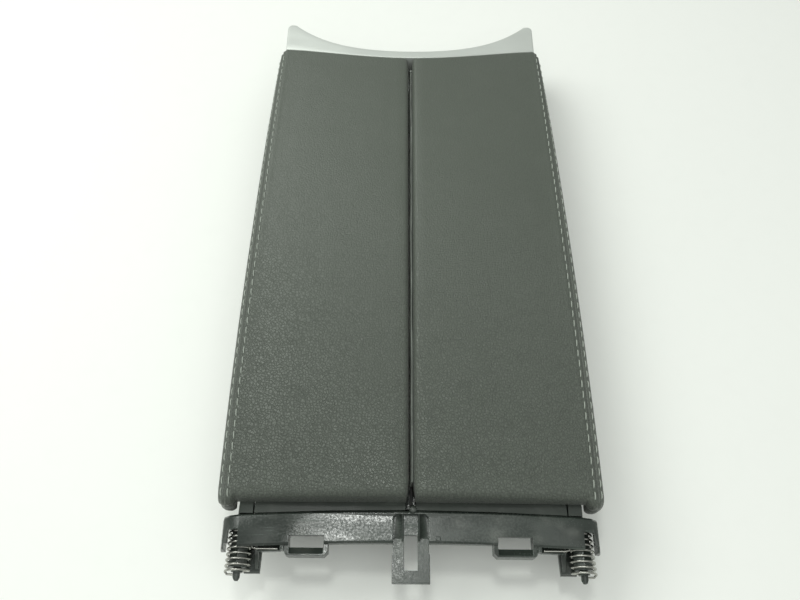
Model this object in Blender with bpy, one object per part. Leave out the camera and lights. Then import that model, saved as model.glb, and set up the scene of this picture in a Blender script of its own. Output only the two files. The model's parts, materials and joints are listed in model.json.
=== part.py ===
"""Centre console armrest with two leather lids that open outwards like wings.

+X is to the right, +Y towards the silver bezel at the front, +Z up. The origin is under the
middle of the object, on the surface that it stands on. All sizes are in metres.

Each lid is a stack: leather, foam, moulded shell, liner. The lids turn on two pin lines that
follow the lids' outer edges. The black carrier holds the pins, the latch and the bezel, and its
rear cross bar hoods the torsion springs.
"""
import math
from typing import NamedTuple

import bmesh
import bpy
from mathutils import Vector

# Gaps between pieces
SEAT_GAP = 0.0003
BORE_GAP = 0.0004

# Outline of the two lids, seen from above
HALF_WIDTH = 0.114
WAIST = 0.0123
REAR_Y = -0.1671
FRONT_Y = 0.1708
REAR_BOW = 0.0005
FRONT_BOW = 0.0262
FRONT_CURL = 0.0107
CENTRE_GAP = 0.0023
CORNER_RADIUS = 0.006

# Heights and edge radii of a lid
TOP_Z = 0.062
CROWN = 0.008
LID_BASE_Z = 0.044
OUTER_RADIUS = 0.007
INNER_RADIUS = 0.003
END_RADIUS = 0.005

# Rail that hangs along a lid's outer edge
RAIL_WIDTH = 0.010
RAIL_Z = 0.032
RAIL_RADIUS = 0.004
LOBE_RADIUS = 0.0045
LOBE_OUT = 0.0035
DRAFT = 0.0004

# Layers of a lid
LEATHER = 0.0015
FOAM_TOP = 0.0039
FOAM_SIDE = 0.0017
SHELL_WALL = 0.0025
SKIRT_WALL = 0.0032
SEAM_REAR = 0.0033
SEAM_FRONT = 0.0008
SEAM_CUT = 0.0003
RAIL_SEAM_DROP = 0.0010

# Liner under each lid
LINER_THICK = 0.0022
LINER_EDGE = 0.0020
LINER_TO_AXIS = 0.0065
LINER_TO_BAR = 0.0007
SHOULDER_END_X = 0.0022
POCKET_DEPTH = 0.0008

# Strip in the gap between the lids
SEAL_THICK = 0.0010
SEAL_HEIGHT = 0.005
SEAL_END = 0.004

# Hinge lines: x at the spring, height, and how far they toe out to the rear
AXIS_INSET = 0.014
AXIS_X = HALF_WIDTH - AXIS_INSET
AXIS_Y = -0.195
AXIS_Z = 0.0355
AXIS_TOE = math.radians(2.5)
ARM_RADIUS = 0.0038
ARM_LENGTH = 0.0075
EAR_THICK = 0.003
PIN_RADIUS = 0.0022
PIN_TIP_Y = -0.2108
PIN_COLLAR = 0.0034
SLOT_WIDTH = 0.0019

# Torsion springs
COIL_RADIUS = 0.0069
WIRE = 0.0013
COIL_TURNS = 7
COIL_FRONT_Y = -0.1836
COIL_REAR_Y = -0.2062
MANDREL_RADIUS = 0.0055
SPRING_LEG_X = AXIS_X - 0.023
LEG_MIDDLE_X = AXIS_X - 0.0175

# Rear cross bar of the carrier
BAR_INSET = 0.0025
BAR_HALF = HALF_WIDTH - BAR_INSET
BAR_GAP = 0.0051
BAR_DEPTH = 0.0184
BAR_BOW = 0.0035
BAR_TOP_Z = 0.046
BAR_UNDER_Z = 0.030
BAR_END_RADIUS = 0.0115
BAR_EDGE = 0.0012
BAR_WALL = 0.0024
LIP_HEIGHT = 0.005
WINDOW_LIP = 0.0050
WINDOW_WIDTH = 0.0062
BAR_RIB_X = (0.020, 0.040, 0.072)
BAR_RIB_HALF = 0.0009

# Tongue and loops behind the cross bar
TONGUE_END_Y = -0.2125
TONGUE_HALF = 0.0104
TONGUE_STEP = 0.0005
TONGUE_THICK = 0.0025
TONGUE_TOP_Z = 0.043
TONGUE_SLOT_HALF = 0.004
TONGUE_SLOT_LENGTH = 0.0199
TONGUE_SLOT_IN = 0.0049
RECESS_DEPTH = 0.0035
RIB_X = 0.0048
RIB_THICK = 0.0011
LOOP_X = 0.0605
LOOP_HALF = 0.01265
LOOP_END_Y = -0.1978
LOOP_WALL = 0.0025
LOOP_HEIGHT = 0.008
LOOP_WINDOW_DEPTH = 0.0062

# Bracket beside each spring
BRACKET_IN_X = AXIS_X - 0.0125
BRACKET_WEB = 0.0018
COIL_ROOM_X = AXIS_X - 0.0115
BRACKET_OUT_X = AXIS_X - 0.002
BRACKET_END_Y = -0.2052
BRACKET_THICK = 0.0025

# Ring of the carrier, around the storage opening
RING_TO_AXIS = 0.015
RING_REAR_Y = -0.165
RING_FRONT_Y = 0.150
RING_WALL = 0.0025
RING_CORNER = 0.014
FLANGE_TOP_Z = 0.039
FLANGE_THICK = 0.0025
FLANGE_OUT = 0.005
SIDE_RIBS = 6
SIDE_RIB_END = 0.03
SIDE_RIB_HALF = 0.001

# Silver bezel and the nose of the carrier behind it
TRIM_INSET = 0.0042
TRIM_HALF = HALF_WIDTH - WAIST - TRIM_INSET
TRIM_GAP = 0.0006
TRIM_DEPTH = 0.0082
TRIM_BOW = 0.0300
TRIM_CURL = 0.0325
TIP_Y = 0.2125
TIP_RADIUS = 0.0035
TRIM_STEP = 0.0012
TRIM_EDGE = 0.003
TRIM_WALL = 0.002
TRIM_UNDER_Z = 0.026
TRIM_BACK_Z = 0.046
NOSE_UNDER_Z = 0.022
NOSE_WALL = 0.0025
SHELF_Z = 0.042
SHELF_INNER_X = 0.045
DECK_Z = 0.033
DECK_TO_AXIS = 0.008

# Latch and button, both on the centre line
SHAFT_Y = 0.158
SHAFT_Z = 0.016
SHAFT_RADIUS = 0.0018
SHAFT_HALF = 0.0160
LEVER_HALF = 0.0093
LEVER_THICK = 0.004
LEVER_TOP_Z = 0.0362
HUB_RADIUS = 0.004
HUB_END_X = 0.0032
HUB_PROUD = 0.0004
NOSE_REACH = 0.0029
HOOK_Z = 0.031
HOOK_THICK = 0.003
HOOK_IN_X = 0.0035
HOOK_OUT_X = 0.009
STRIKER_THICK = 0.003
CHEEK_IN_X = 0.012
CHEEK_THICK = 0.0025
HOUSING_HALF = 0.022
HOUSING_UNDER_Z = 0.009
LATCH_WINDOW_HALF = 0.0105
WINDOW_TO_FRONT = 0.0112
LEVER_ROOM = 0.0074
HOUSING_REAR = 0.0076
HOUSING_BAR = 0.0012
BUTTON_HALF = 0.022
BUTTON_LOW_Z = 0.031
BUTTON_HIGH_Z = 0.041
BUTTON_PROUD = 0.0013
BUTTON_WALL = 0.003
BUTTON_TRAVEL = 0.004
SHANK_HALF = 0.0022
SHANK_Z = 0.034
SHANK_GAP = 0.0006

# Screws and stops
SCREW_HEAD = 0.0028
SCREW_HEAD_HEIGHT = 0.0016
SCREW_SHANK = 0.0011
SCREW_LENGTH = 0.0075
BOSS_WALL = 0.0018
TRIM_BOSS_WALL = 0.0012
LINER_SCREW_X = (0.014, AXIS_X - 0.037)
LINER_SCREW_Y = (-0.140, 0.128)
TRIM_SCREW_X = (TRIM_HALF - 0.0345, TRIM_HALF - 0.0155)
STOP_RADIUS = 0.004
STOP_Y = (-0.110, 0.105)

SIDES = {"left": -1, "right": 1}

# Colours, roughness and metallic value of each finish
FINISHES = {
    "leather": ((0.115, 0.125, 0.113, 1.0), 0.55, 0.0),
    "foam": ((0.23, 0.23, 0.21, 1.0), 0.95, 0.0),
    "shell plastic": ((0.03, 0.03, 0.03, 1.0), 0.5, 0.0),
    "carrier plastic": ((0.045, 0.048, 0.045, 1.0), 0.35, 0.0),
    "satin silver": ((0.60, 0.62, 0.60, 1.0), 0.3, 1.0),
    "spring steel": ((0.62, 0.62, 0.60, 1.0), 0.3, 1.0),
    "pale plastic": ((0.45, 0.45, 0.42, 1.0), 0.5, 0.0),
    "rubber": ((0.05, 0.05, 0.05, 1.0), 0.8, 0.0),
}


class Layer(NamedTuple):
    """Depths of one lid layer below the leather's outer faces."""

    top: float
    edge: float
    base_z: float
    rail_inner: float = 0.0
    rail_lift: float = 0.0


def half_width(y):
    """Half the width over both lids at y."""
    length = FRONT_Y - REAR_Y
    return HALF_WIDTH - WAIST * ((y - REAR_Y) / length) ** 2


def crown_z(x):
    """Height of the leather's outer top over x."""
    return TOP_Z - CROWN * (x / HALF_WIDTH) ** 2


def rear_y(x):
    return REAR_Y - REAR_BOW * (x / HALF_WIDTH) ** 2


def front_y(x):
    share = (x / HALF_WIDTH) ** 2
    return FRONT_Y + FRONT_BOW * share - FRONT_CURL * share * share


def trim_rear_y(x):
    return front_y(x) + TRIM_GAP


def trim_front_y(x):
    """Concave front of the bezel, ending at the tips of its horns."""
    share = (x / HALF_WIDTH) ** 2
    curve = FRONT_Y + TRIM_GAP + TRIM_DEPTH + TRIM_BOW * share + TRIM_CURL * share * share
    return min(curve, TIP_Y)


def tip_rounding(x, half):
    """How far the bezel's round corner lies behind its front line."""
    return round_off(half - abs(x), TIP_RADIUS)


def trim_stations(half):
    """x of the bezel's points, closer together at the horns."""
    right = [half * k / 7 for k in range(1, 6)]
    right += [half - TIP_RADIUS - s for s in (0.0085, 0.005, 0.002)]
    right += [half - s for s in reversed(arc_steps(TIP_RADIUS, (0, 30, 60, 90)))]
    return [-x for x in reversed(right)] + [0] + right


def trim_boss_y(x):
    """Middle of the room between the bezel's rear wall and the nose's front wall."""
    rear = trim_rear_y(x) + TRIM_WALL
    front = trim_front_y(x) - TRIM_WALL - SEAT_GAP - NOSE_WALL
    return (rear + front) / 2


def bar_front_y(x):
    return REAR_Y - BAR_GAP - BAR_BOW * (x / BAR_HALF) ** 2


def bar_rear_y(x):
    return bar_front_y(x) - BAR_DEPTH


def axis_x(y):
    """Distance of a hinge line from the centre plane at y."""
    return AXIS_X - (y - AXIS_Y) * math.tan(AXIS_TOE)


def on_axis(side, y):
    return Vector((side * axis_x(y), y, AXIS_Z))


def round_off(distance, radius):
    """Drop of a rounded edge at a distance inside its face."""
    if distance >= radius:
        return 0.0
    return radius - math.sqrt(radius * radius - (radius - distance) ** 2)


def arc_steps(radius, degrees=(0, 45, 90)):
    """Distances from a face at which a rounded edge gets its points."""
    return [radius * (1 - math.cos(math.radians(a))) for a in degrees]


def new_object(bm, name="work"):
    """Object made of a closed bmesh, with its faces turned outwards."""
    bmesh.ops.recalc_face_normals(bm, faces=bm.faces)
    mesh = bpy.data.meshes.new(name)
    bm.to_mesh(mesh)
    bm.free()
    obj = bpy.data.objects.new(name, mesh)
    bpy.context.scene.collection.objects.link(obj)
    return obj


def grid_solid(top, under):
    """Closed solid between two grids of points, top[i][j] over under[i][j]."""
    bm = bmesh.new()
    high = [[bm.verts.new(p) for p in line] for line in top]
    low = [[bm.verts.new(p) for p in line] for line in under]
    last_i = len(high) - 1
    last_j = len(high[0]) - 1
    for i in range(last_i):
        for j in range(last_j):
            bm.faces.new((high[i][j], high[i + 1][j], high[i + 1][j + 1], high[i][j + 1]))
            bm.faces.new((low[i][j], low[i][j + 1], low[i + 1][j + 1], low[i + 1][j]))
    for i in range(last_i):
        for j in (0, last_j):
            bm.faces.new((low[i][j], low[i + 1][j], high[i + 1][j], high[i][j]))
    for j in range(last_j):
        for i in (0, last_i):
            bm.faces.new((low[i][j], high[i][j], high[i][j + 1], low[i][j + 1]))
    return new_object(bm)


def prism(outline, low, high):
    """Upright solid over an outline of (x, y) points."""
    bm = bmesh.new()
    face = bm.faces.new([bm.verts.new((x, y, low)) for x, y in outline])
    walls = bmesh.ops.extrude_face_region(bm, geom=[face])
    moved = [v for v in walls["geom"] if isinstance(v, bmesh.types.BMVert)]
    bmesh.ops.translate(bm, verts=moved, vec=(0, 0, high - low))
    return new_object(bm)


def side_prism(outline, low, high):
    """Solid over an outline of (y, z) points, from x = low to x = high."""
    bm = bmesh.new()
    face = bm.faces.new([bm.verts.new((low, y, z)) for y, z in outline])
    walls = bmesh.ops.extrude_face_region(bm, geom=[face])
    moved = [v for v in walls["geom"] if isinstance(v, bmesh.types.BMVert)]
    bmesh.ops.translate(bm, verts=moved, vec=(high - low, 0, 0))
    return new_object(bm)


def block(low, high):
    """Box between two corners, given in any order."""
    x0, x1 = sorted((low[0], high[0]))
    y0, y1 = sorted((low[1], high[1]))
    z0, z1 = sorted((low[2], high[2]))
    return prism([(x0, y0), (x1, y0), (x1, y1), (x0, y1)], z0, z1)


def lathe(start, end, profile, sides=16):
    """Solid turned about the line from start to end; profile holds (share, radius)."""
    along = end - start
    axis = along.normalized()
    across = axis.orthogonal().normalized()
    third = axis.cross(across)
    bm = bmesh.new()
    rings = []
    for share, radius in profile:
        centre = start + along * share
        ring = []
        for k in range(sides):
            a = 2 * math.pi * k / sides
            ring.append(bm.verts.new(centre + radius * (across * math.cos(a) + third * math.sin(a))))
        rings.append(ring)
    for near, far in zip(rings, rings[1:]):
        for k in range(sides):
            n = (k + 1) % sides
            bm.faces.new((near[k], near[n], far[n], far[k]))
    bm.faces.new(rings[0])
    bm.faces.new(list(reversed(rings[-1])))
    return new_object(bm)


def rod(start, end, radius, sides=16):
    return lathe(start, end, [(0, radius), (1, radius)], sides)


def upright(x, y, low, high, radius, sides=12):
    return rod(Vector((x, y, low)), Vector((x, y, high)), radius, sides)


def wire(points, radius, sides=5):
    """Round wire along a list of points, with closed ends."""
    bm = bmesh.new()
    rings = []
    normal = (points[1] - points[0]).orthogonal().normalized()
    for i, point in enumerate(points):
        before = points[max(i - 1, 0)]
        after = points[min(i + 1, len(points) - 1)]
        tangent = (after - before).normalized()
        normal = (normal - tangent * normal.dot(tangent)).normalized()
        other = tangent.cross(normal)
        ring = []
        for k in range(sides):
            a = 2 * math.pi * k / sides
            ring.append(bm.verts.new(point + radius * (normal * math.cos(a) + other * math.sin(a))))
        rings.append(ring)
    for near, far in zip(rings, rings[1:]):
        for k in range(sides):
            n = (k + 1) % sides
            bm.faces.new((near[k], near[n], far[n], far[k]))
    bm.faces.new(rings[0])
    bm.faces.new(list(reversed(rings[-1])))
    return new_object(bm)


def boolean(body, tool, operation):
    """Change body's mesh by a Boolean with tool, and use tool up."""
    modifier = body.modifiers.new("Boolean", "BOOLEAN")
    modifier.operation = operation
    modifier.solver = "EXACT"
    modifier.object = tool
    depsgraph = bpy.context.evaluated_depsgraph_get()
    mesh = bpy.data.meshes.new_from_object(body.evaluated_get(depsgraph))
    body.modifiers.clear()
    body.data = mesh
    bpy.data.objects.remove(tool)
    return body


def cut(body, *tools):
    for tool in tools:
        boolean(body, tool, "DIFFERENCE")
    return body


def join(body, *tools):
    for tool in tools:
        boolean(body, tool, "UNION")
    return body


def copy_of(obj):
    twin = bpy.data.objects.new("work", obj.data.copy())
    bpy.context.scene.collection.objects.link(twin)
    return twin


def finish(obj, name, finish_name, empty=None):
    """Name a piece, clean its mesh, give it its material and hang it on its joint."""
    bm = bmesh.new()
    bm.from_mesh(obj.data)
    bmesh.ops.remove_doubles(bm, verts=bm.verts, dist=0.000002)
    bmesh.ops.dissolve_limit(bm, angle_limit=math.radians(0.1), verts=bm.verts, edges=bm.edges)
    bmesh.ops.triangulate(bm, faces=[f for f in bm.faces if len(f.verts) > 4])
    bm.to_mesh(obj.data)
    bm.free()
    obj.name = name
    obj.data.name = name
    obj.data.materials.clear()
    obj.data.materials.append(MATERIALS[finish_name])
    obj.data.shade_smooth()
    obj.data.set_sharp_from_angle(angle=math.radians(32))
    if empty:
        obj.parent = empty
        obj.matrix_parent_inverse = empty.matrix_world.inverted()
    return obj


def make_materials():
    made = {}
    for name, (colour, roughness, metallic) in FINISHES.items():
        material = bpy.data.materials.new(name)
        material.use_nodes = True
        shader = material.node_tree.nodes["Principled BSDF"]
        shader.inputs["Base Color"].default_value = colour
        shader.inputs["Roughness"].default_value = roughness
        shader.inputs["Metallic"].default_value = metallic
        made[name] = material
    return made


def joint_empty(name, place, turn=0.0):
    empty = bpy.data.objects.new(name, None)
    empty.location = place
    empty.rotation_euler = (0, 0, turn)
    bpy.context.scene.collection.objects.link(empty)
    bpy.context.view_layer.update()
    return empty


def lid_columns(y, layer):
    """(x, drop of the top) from a lid's gap side to its outer side at y."""
    x_in = CENTRE_GAP / 2 + layer.edge
    x_out = half_width(y) - layer.edge
    r_in = max(INNER_RADIUS - layer.edge, 0.0008)
    r_out = max(OUTER_RADIUS - layer.edge, 0.0012)
    columns = [(x_in + s, round_off(s, r_in)) for s in arc_steps(r_in)]
    if layer.rail_inner:
        rail = half_width(y) - layer.rail_inner
        flat_end = rail - DRAFT
    else:
        flat_end = x_out - r_out
    start = columns[-1][0]
    columns += [(start + (flat_end - start) * k / 4, 0.0) for k in (1, 2, 3)]
    if layer.rail_inner:
        columns += [(flat_end, 0.0), (rail, round_off(x_out - rail, r_out))]
    if not layer.rail_inner or rail < x_out - r_out - DRAFT:
        columns.append((x_out - r_out, 0.0))
    columns += [(x_out - s, round_off(s, r_out)) for s in reversed(arc_steps(r_out)[:-1])]
    return columns


def lid_solid(side, layer):
    """One lid's form, moved inwards by the layer's depths."""
    length = FRONT_Y - REAR_Y
    r_end = max(END_RADIUS - layer.edge, 0.0008)
    steps = arc_steps(r_end)
    rows = [(s / length, round_off(s, r_end)) for s in steps]
    rows += [(k / 4, 0.0) for k in (1, 2, 3)]
    rows += [(1 - s / length, round_off(s, r_end)) for s in reversed(steps)]
    top = []
    under = []
    for share, end_drop in rows:
        y_row = REAR_Y + layer.edge + share * (length - 2 * layer.edge)
        columns = lid_columns(y_row, layer)
        x_out = columns[-1][0]
        corner = max(CORNER_RADIUS - layer.edge, 0.001)
        top_row = []
        under_row = []
        for x, drop in columns:
            rounding = round_off(x_out - x, corner)
            low_y = rear_y(x) + layer.edge + rounding - lobe_out(x, y_row, layer)
            high_y = front_y(x) - layer.edge - rounding
            y = low_y + share * (high_y - low_y)
            z = crown_z(x) - layer.top - drop - end_drop
            base = lid_base(x, y_row, x_out, share * length, length, layer)
            top_row.append((side * x, y, max(z, base + 0.0004)))
            under_row.append((side * x, y, base))
        top.append(top_row)
        under.append(under_row)
    return grid_solid(top, under)


def lobe_out(x, y, layer):
    """How far the rail's end stands out behind the pad."""
    if layer.rail_inner and x > half_width(y) - layer.rail_inner - DRAFT / 2:
        return LOBE_OUT
    return 0.0


def lid_base(x, y, x_out, from_end, length, layer):
    """Underside of a lid layer: flat, with the round rail along the outer edge."""
    if not layer.rail_inner:
        return layer.base_z
    rail = half_width(y) - layer.rail_inner
    if x < rail - DRAFT / 2:
        return layer.base_z
    side_lift = round_off(min(x - rail, x_out - x), RAIL_RADIUS * 0.8)
    end_lift = round_off(min(from_end, length - from_end), LOBE_RADIUS)
    return RAIL_Z + layer.rail_lift + max(side_lift, end_lift)


def seam_region(side, shift):
    """Space outboard of the seam, and all of the rail below the lid's base."""
    length = FRONT_Y - REAR_Y
    seam = []
    rail = []
    for k in range(-1, 10):
        y = REAR_Y + length * k / 8
        inset = SEAM_REAR + (SEAM_FRONT - SEAM_REAR) * min(max(k / 8, 0), 1) ** 2
        seam.append((side * (half_width(y) - inset - shift), y))
        rail.append((side * (half_width(y) - RAIL_WIDTH - 0.003), y))
    far = side * (HALF_WIDTH + 0.010)
    ends = [(far, seam[-1][1]), (far, seam[0][1])]
    region = prism(seam + ends, LID_BASE_Z - 0.002, TOP_Z + 0.01)
    return join(region, prism(rail + ends, RAIL_Z - 0.01, LID_BASE_Z - RAIL_SEAM_DROP + 4 * shift))


def make_leather(side_name, side, empty):
    """Top panel and sewn side band, cut from one leather skin at the seam."""
    skin = lid_solid(side, Layer(0, 0, LID_BASE_Z, RAIL_WIDTH, 0))
    inner = Layer(LEATHER, LEATHER, LID_BASE_Z - 0.004, RAIL_WIDTH - LEATHER, LEATHER)
    cut(skin, lid_solid(side, inner))
    band = copy_of(skin)
    boolean(band, seam_region(side, 0), "INTERSECT")
    cut(skin, seam_region(side, SEAM_CUT))
    finish(skin, f"{side_name}_top_cover", "leather", empty)
    finish(band, f"{side_name}_side_band", "leather", empty)


def foam_layers():
    """Outer and inner form of the foam, which ends on the shell."""
    edge = LEATHER + SEAT_GAP
    outer = Layer(edge, edge, LID_BASE_Z, RAIL_WIDTH - edge, edge)
    depth = edge + FOAM_TOP
    side = edge + FOAM_SIDE
    inner = Layer(depth, side, LID_BASE_Z - 0.004, side + SKIRT_WALL + 2 * SEAT_GAP, side)
    return outer, inner


def make_foam(side_name, side, empty):
    outer, inner = foam_layers()
    foam = cut(lid_solid(side, outer), lid_solid(side, inner))
    finish(foam, f"{side_name}_foam_pad", "foam", empty)


def arm_places():
    """y span of each hinge arm's web and of its round boss, rear and front."""
    inset = LEATHER + FOAM_SIDE + 3 * SEAT_GAP
    rear_x = axis_x(REAR_Y)
    rear = rear_y(rear_x) + inset
    front = RING_FRONT_Y + 0.008
    tilt = ARM_RADIUS * math.sin(AXIS_TOE)
    rear_boss = bar_front_y(rear_x - ARM_RADIUS) + SEAT_GAP + tilt
    return ((rear, rear + ARM_LENGTH, rear_boss, rear + ARM_LENGTH),
            (front, front + ARM_LENGTH, front, front + ARM_LENGTH + 0.0035))


def make_shell(side_name, side, empty):
    """Moulded tray with skirt, hinge arms and screw bosses."""
    outer, inner = foam_layers()
    depth = inner.top + SEAT_GAP
    edge = inner.edge + SEAT_GAP
    skirt = edge + SKIRT_WALL
    shell = lid_solid(side, Layer(depth, edge, LID_BASE_Z, skirt, edge + SEAT_GAP))
    cavity = Layer(depth + SHELL_WALL, edge + SHELL_WALL, LID_BASE_Z - 0.006)
    hollow = lid_solid(side, cavity)
    keep = prism(skirt_line(side, skirt + 0.0002), 0, TOP_Z + 0.01)
    cut(shell, boolean(hollow, keep, "INTERSECT"))
    for low, high, boss_low, boss_high in arm_places():
        middle = axis_x((low + high) / 2)
        arm_top = crown_z(middle) - depth - SHELL_WALL / 2
        arm = block((side * (middle - ARM_RADIUS + 0.0002), low, AXIS_Z),
                    (side * (middle + ARM_RADIUS - 0.0002), high, arm_top))
        boss = rod(on_axis(side, boss_low), on_axis(side, boss_high), ARM_RADIUS)
        join(shell, join(arm, boss))
    place = arm_places()[0]
    shoulder_x = axis_x(REAR_Y)
    join(shell, block((side * (shoulder_x - LINER_TO_AXIS + 0.0006),
                       bar_front_y(shoulder_x) + LINER_TO_BAR + 0.0003, AXIS_Z + ARM_RADIUS - 0.0006),
                      (side * (shoulder_x + SHOULDER_END_X), place[1] - 0.0013, LID_BASE_Z - SEAT_GAP)))
    for x in LINER_SCREW_X:
        for y in LINER_SCREW_Y:
            radius = SCREW_SHANK + SEAT_GAP + BOSS_WALL
            boss_top = crown_z(x) - depth - SHELL_WALL / 2
            join(shell, upright(side * x, y, LID_BASE_Z, boss_top, radius))
    for k in (1, 2, 3):
        y = REAR_Y + (FRONT_Y - REAR_Y) * k / 4
        outside = half_width(y) - skirt + 0.0005
        rib = grid_solid(
            [[(side * x, y + t, crown_z(x) - depth - SHELL_WALL / 2) for t in (0, SHELL_WALL / 1.5)]
             for x in (edge + 0.003, outside / 2, outside)],
            [[(side * x, y + t, crown_z(x) - depth - SHELL_WALL - 0.001) for t in (0, SHELL_WALL / 1.5)]
             for x in (edge + 0.003, outside / 2, outside)])
        join(shell, rib)
    for low, high, boss_low, boss_high in arm_places():
        start = on_axis(side, boss_low - 0.002)
        end = on_axis(side, boss_high + 0.002)
        cut(shell, rod(start, end, PIN_RADIUS + SEAT_GAP))
    for x in LINER_SCREW_X:
        for y in LINER_SCREW_Y:
            top = LID_BASE_Z + SCREW_LENGTH - 0.0015
            tip = min(top, crown_z(x) - depth - 0.0008)
            cut(shell, upright(side * x, y, LID_BASE_Z - 0.01, tip, SCREW_SHANK + SEAT_GAP))
    finish(shell, f"{side_name}_lid_shell", "shell plastic", empty)


def skirt_line(side, inset):
    """Outline of the space inboard of the skirt."""
    length = FRONT_Y - REAR_Y
    edge = []
    for k in range(-1, 10):
        y = REAR_Y + length * k / 8
        edge.append((side * (half_width(y) - inset), y))
    return edge + [(0, edge[-1][1]), (0, edge[0][1])]


def liner_outline(side):
    """Outline of the liner, which stops short of the hinge line."""
    points = []
    inner = CENTRE_GAP / 2 + LINER_EDGE
    rear = REAR_Y + LINER_EDGE
    outer_rear = axis_x(rear) - LINER_TO_AXIS
    for share in (0, 0.5, 1):
        x = inner + (outer_rear - inner) * share
        points.append((side * x, bar_front_y(x) + LINER_TO_BAR))
    for share in (1, 0.75, 0.5, 0.25, 0):
        outer_front = axis_x(FRONT_Y) - LINER_TO_AXIS
        x = inner + (outer_front - inner) * share
        points.append((side * x, front_y(x) - LINER_EDGE))
    return points


def make_liner(side_name, side, empty):
    """Flat inner cover with a shallow recessed panel and its screw holes."""
    top = LID_BASE_Z - SEAT_GAP
    liner = prism(liner_outline(side), top - LINER_THICK, top)
    inner = LINER_SCREW_X[0] + 0.010
    outer = LINER_SCREW_X[1] - 0.010
    rear = LINER_SCREW_Y[0] + 0.012
    front = LINER_SCREW_Y[1] - 0.012
    low = top - LINER_THICK
    cut(liner, block((side * inner, rear, low - 0.01), (side * outer, front, low + POCKET_DEPTH)))
    for x in LINER_SCREW_X:
        for y in LINER_SCREW_Y:
            cut(liner, upright(side * x, y, low - 0.01, top + 0.01, SCREW_SHANK + BORE_GAP))
            make_screw(f"{side_name}_liner_screw_{screw_name(x, y)}", side * x, y, low, empty)
    finish(liner, f"{side_name}_lid_liner", "shell plastic", empty)


def screw_name(x, y):
    place = "inner" if x == LINER_SCREW_X[0] else "outer"
    end = "rear" if y == LINER_SCREW_Y[0] else "front"
    return f"{end}_{place}"


def make_screw(name, x, y, seat_z, empty=None):
    """Pan head screw that points up, its head under seat_z."""
    low = seat_z - SEAT_GAP - SCREW_HEAD_HEIGHT
    length = SCREW_HEAD_HEIGHT + SCREW_LENGTH - 0.003
    head = SCREW_HEAD_HEIGHT / length
    profile = [(0, SCREW_HEAD * 0.75), (head * 0.5, SCREW_HEAD), (head, SCREW_HEAD),
               (head, SCREW_SHANK), (1, SCREW_SHANK * 0.7)]
    screw = lathe(Vector((x, y, low)), Vector((x, y, low + length)), profile, 9)
    finish(screw, name, "spring steel", empty)


def make_pins(side_name, side, empty):
    """Rear pin with collar and split tip, and the plain front pin, both fast in the lid's arms."""
    rear, front = arm_places()
    start = on_axis(side, rear[3] - 0.0005)
    end = on_axis(side, PIN_TIP_Y)
    length = rear[3] - 0.0005 - PIN_TIP_Y
    collar = (COIL_REAR_Y + 0.0016 - PIN_TIP_Y) / length
    width = 0.0016 / length
    profile = [
        (0, PIN_RADIUS), (1 - collar, PIN_RADIUS), (1 - collar, PIN_COLLAR),
        (1 - collar + width, PIN_COLLAR), (1 - collar + width, PIN_RADIUS),
        (1 - width * 1.2, PIN_RADIUS), (1, PIN_RADIUS * 0.62)]
    pin = lathe(start, end, profile, 14)
    slot_front = COIL_REAR_Y - 0.0004
    cut(pin, block((side * AXIS_X - 0.006, slot_front, AXIS_Z - SLOT_WIDTH / 2),
                   (side * AXIS_X + 0.006, PIN_TIP_Y - 0.002, AXIS_Z + SLOT_WIDTH / 2)))
    finish(pin, f"{side_name}_rear_hinge_pin", "carrier plastic", empty)
    ear = RING_FRONT_Y + 0.008 + ARM_LENGTH + 0.0038
    low = on_axis(side, front[0] + 0.0005)
    high = on_axis(side, ear + 0.0052)
    shaft = lathe(low, high, [(0, PIN_RADIUS), (0.9, PIN_RADIUS), (1, PIN_RADIUS * 0.7)], 14)
    finish(shaft, f"{side_name}_front_hinge_pin", "spring steel", empty)


def make_spring(side_name, side):
    """Torsion spring: tang in the pin's slot, coil on the mandrel, leg on the bar's ledge."""
    out = Vector((side * math.cos(AXIS_TOE), math.sin(AXIS_TOE), 0))
    up = Vector((0, 0, 1))
    points = []
    tang_y = COIL_REAR_Y - WIRE
    for reach in (-1.8, 0, 2, 4):
        points.append(on_axis(side, tang_y) + out * (reach * 0.001))
    start = math.radians(20)
    stop = math.radians(90) + 2 * math.pi * COIL_TURNS
    count = COIL_TURNS * 10 + 2
    for k in range(count + 1):
        share = k / count
        angle = start + (stop - start) * share
        y = COIL_REAR_Y + (COIL_FRONT_Y - COIL_REAR_Y) * share
        radial = out * math.cos(angle) + up * math.sin(angle)
        points.append(on_axis(side, y) + radial * COIL_RADIUS)
    leg_y = bar_rear_y(LEG_MIDDLE_X) - WIRE
    leg_z = AXIS_Z + COIL_RADIUS - 0.0009
    points.append(Vector((side * (AXIS_X - 0.0045), COIL_FRONT_Y - 0.0025, AXIS_Z + COIL_RADIUS)))
    points.append(Vector((side * (AXIS_X - 0.0085), leg_y + 0.0004, leg_z)))
    points.append(Vector((side * (AXIS_X - 0.0110), leg_y, leg_z)))
    points.append(Vector((side * SPRING_LEG_X, leg_y, leg_z)))
    finish(wire(points, WIRE / 2), f"{side_name}_torsion_spring", "spring steel")


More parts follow.
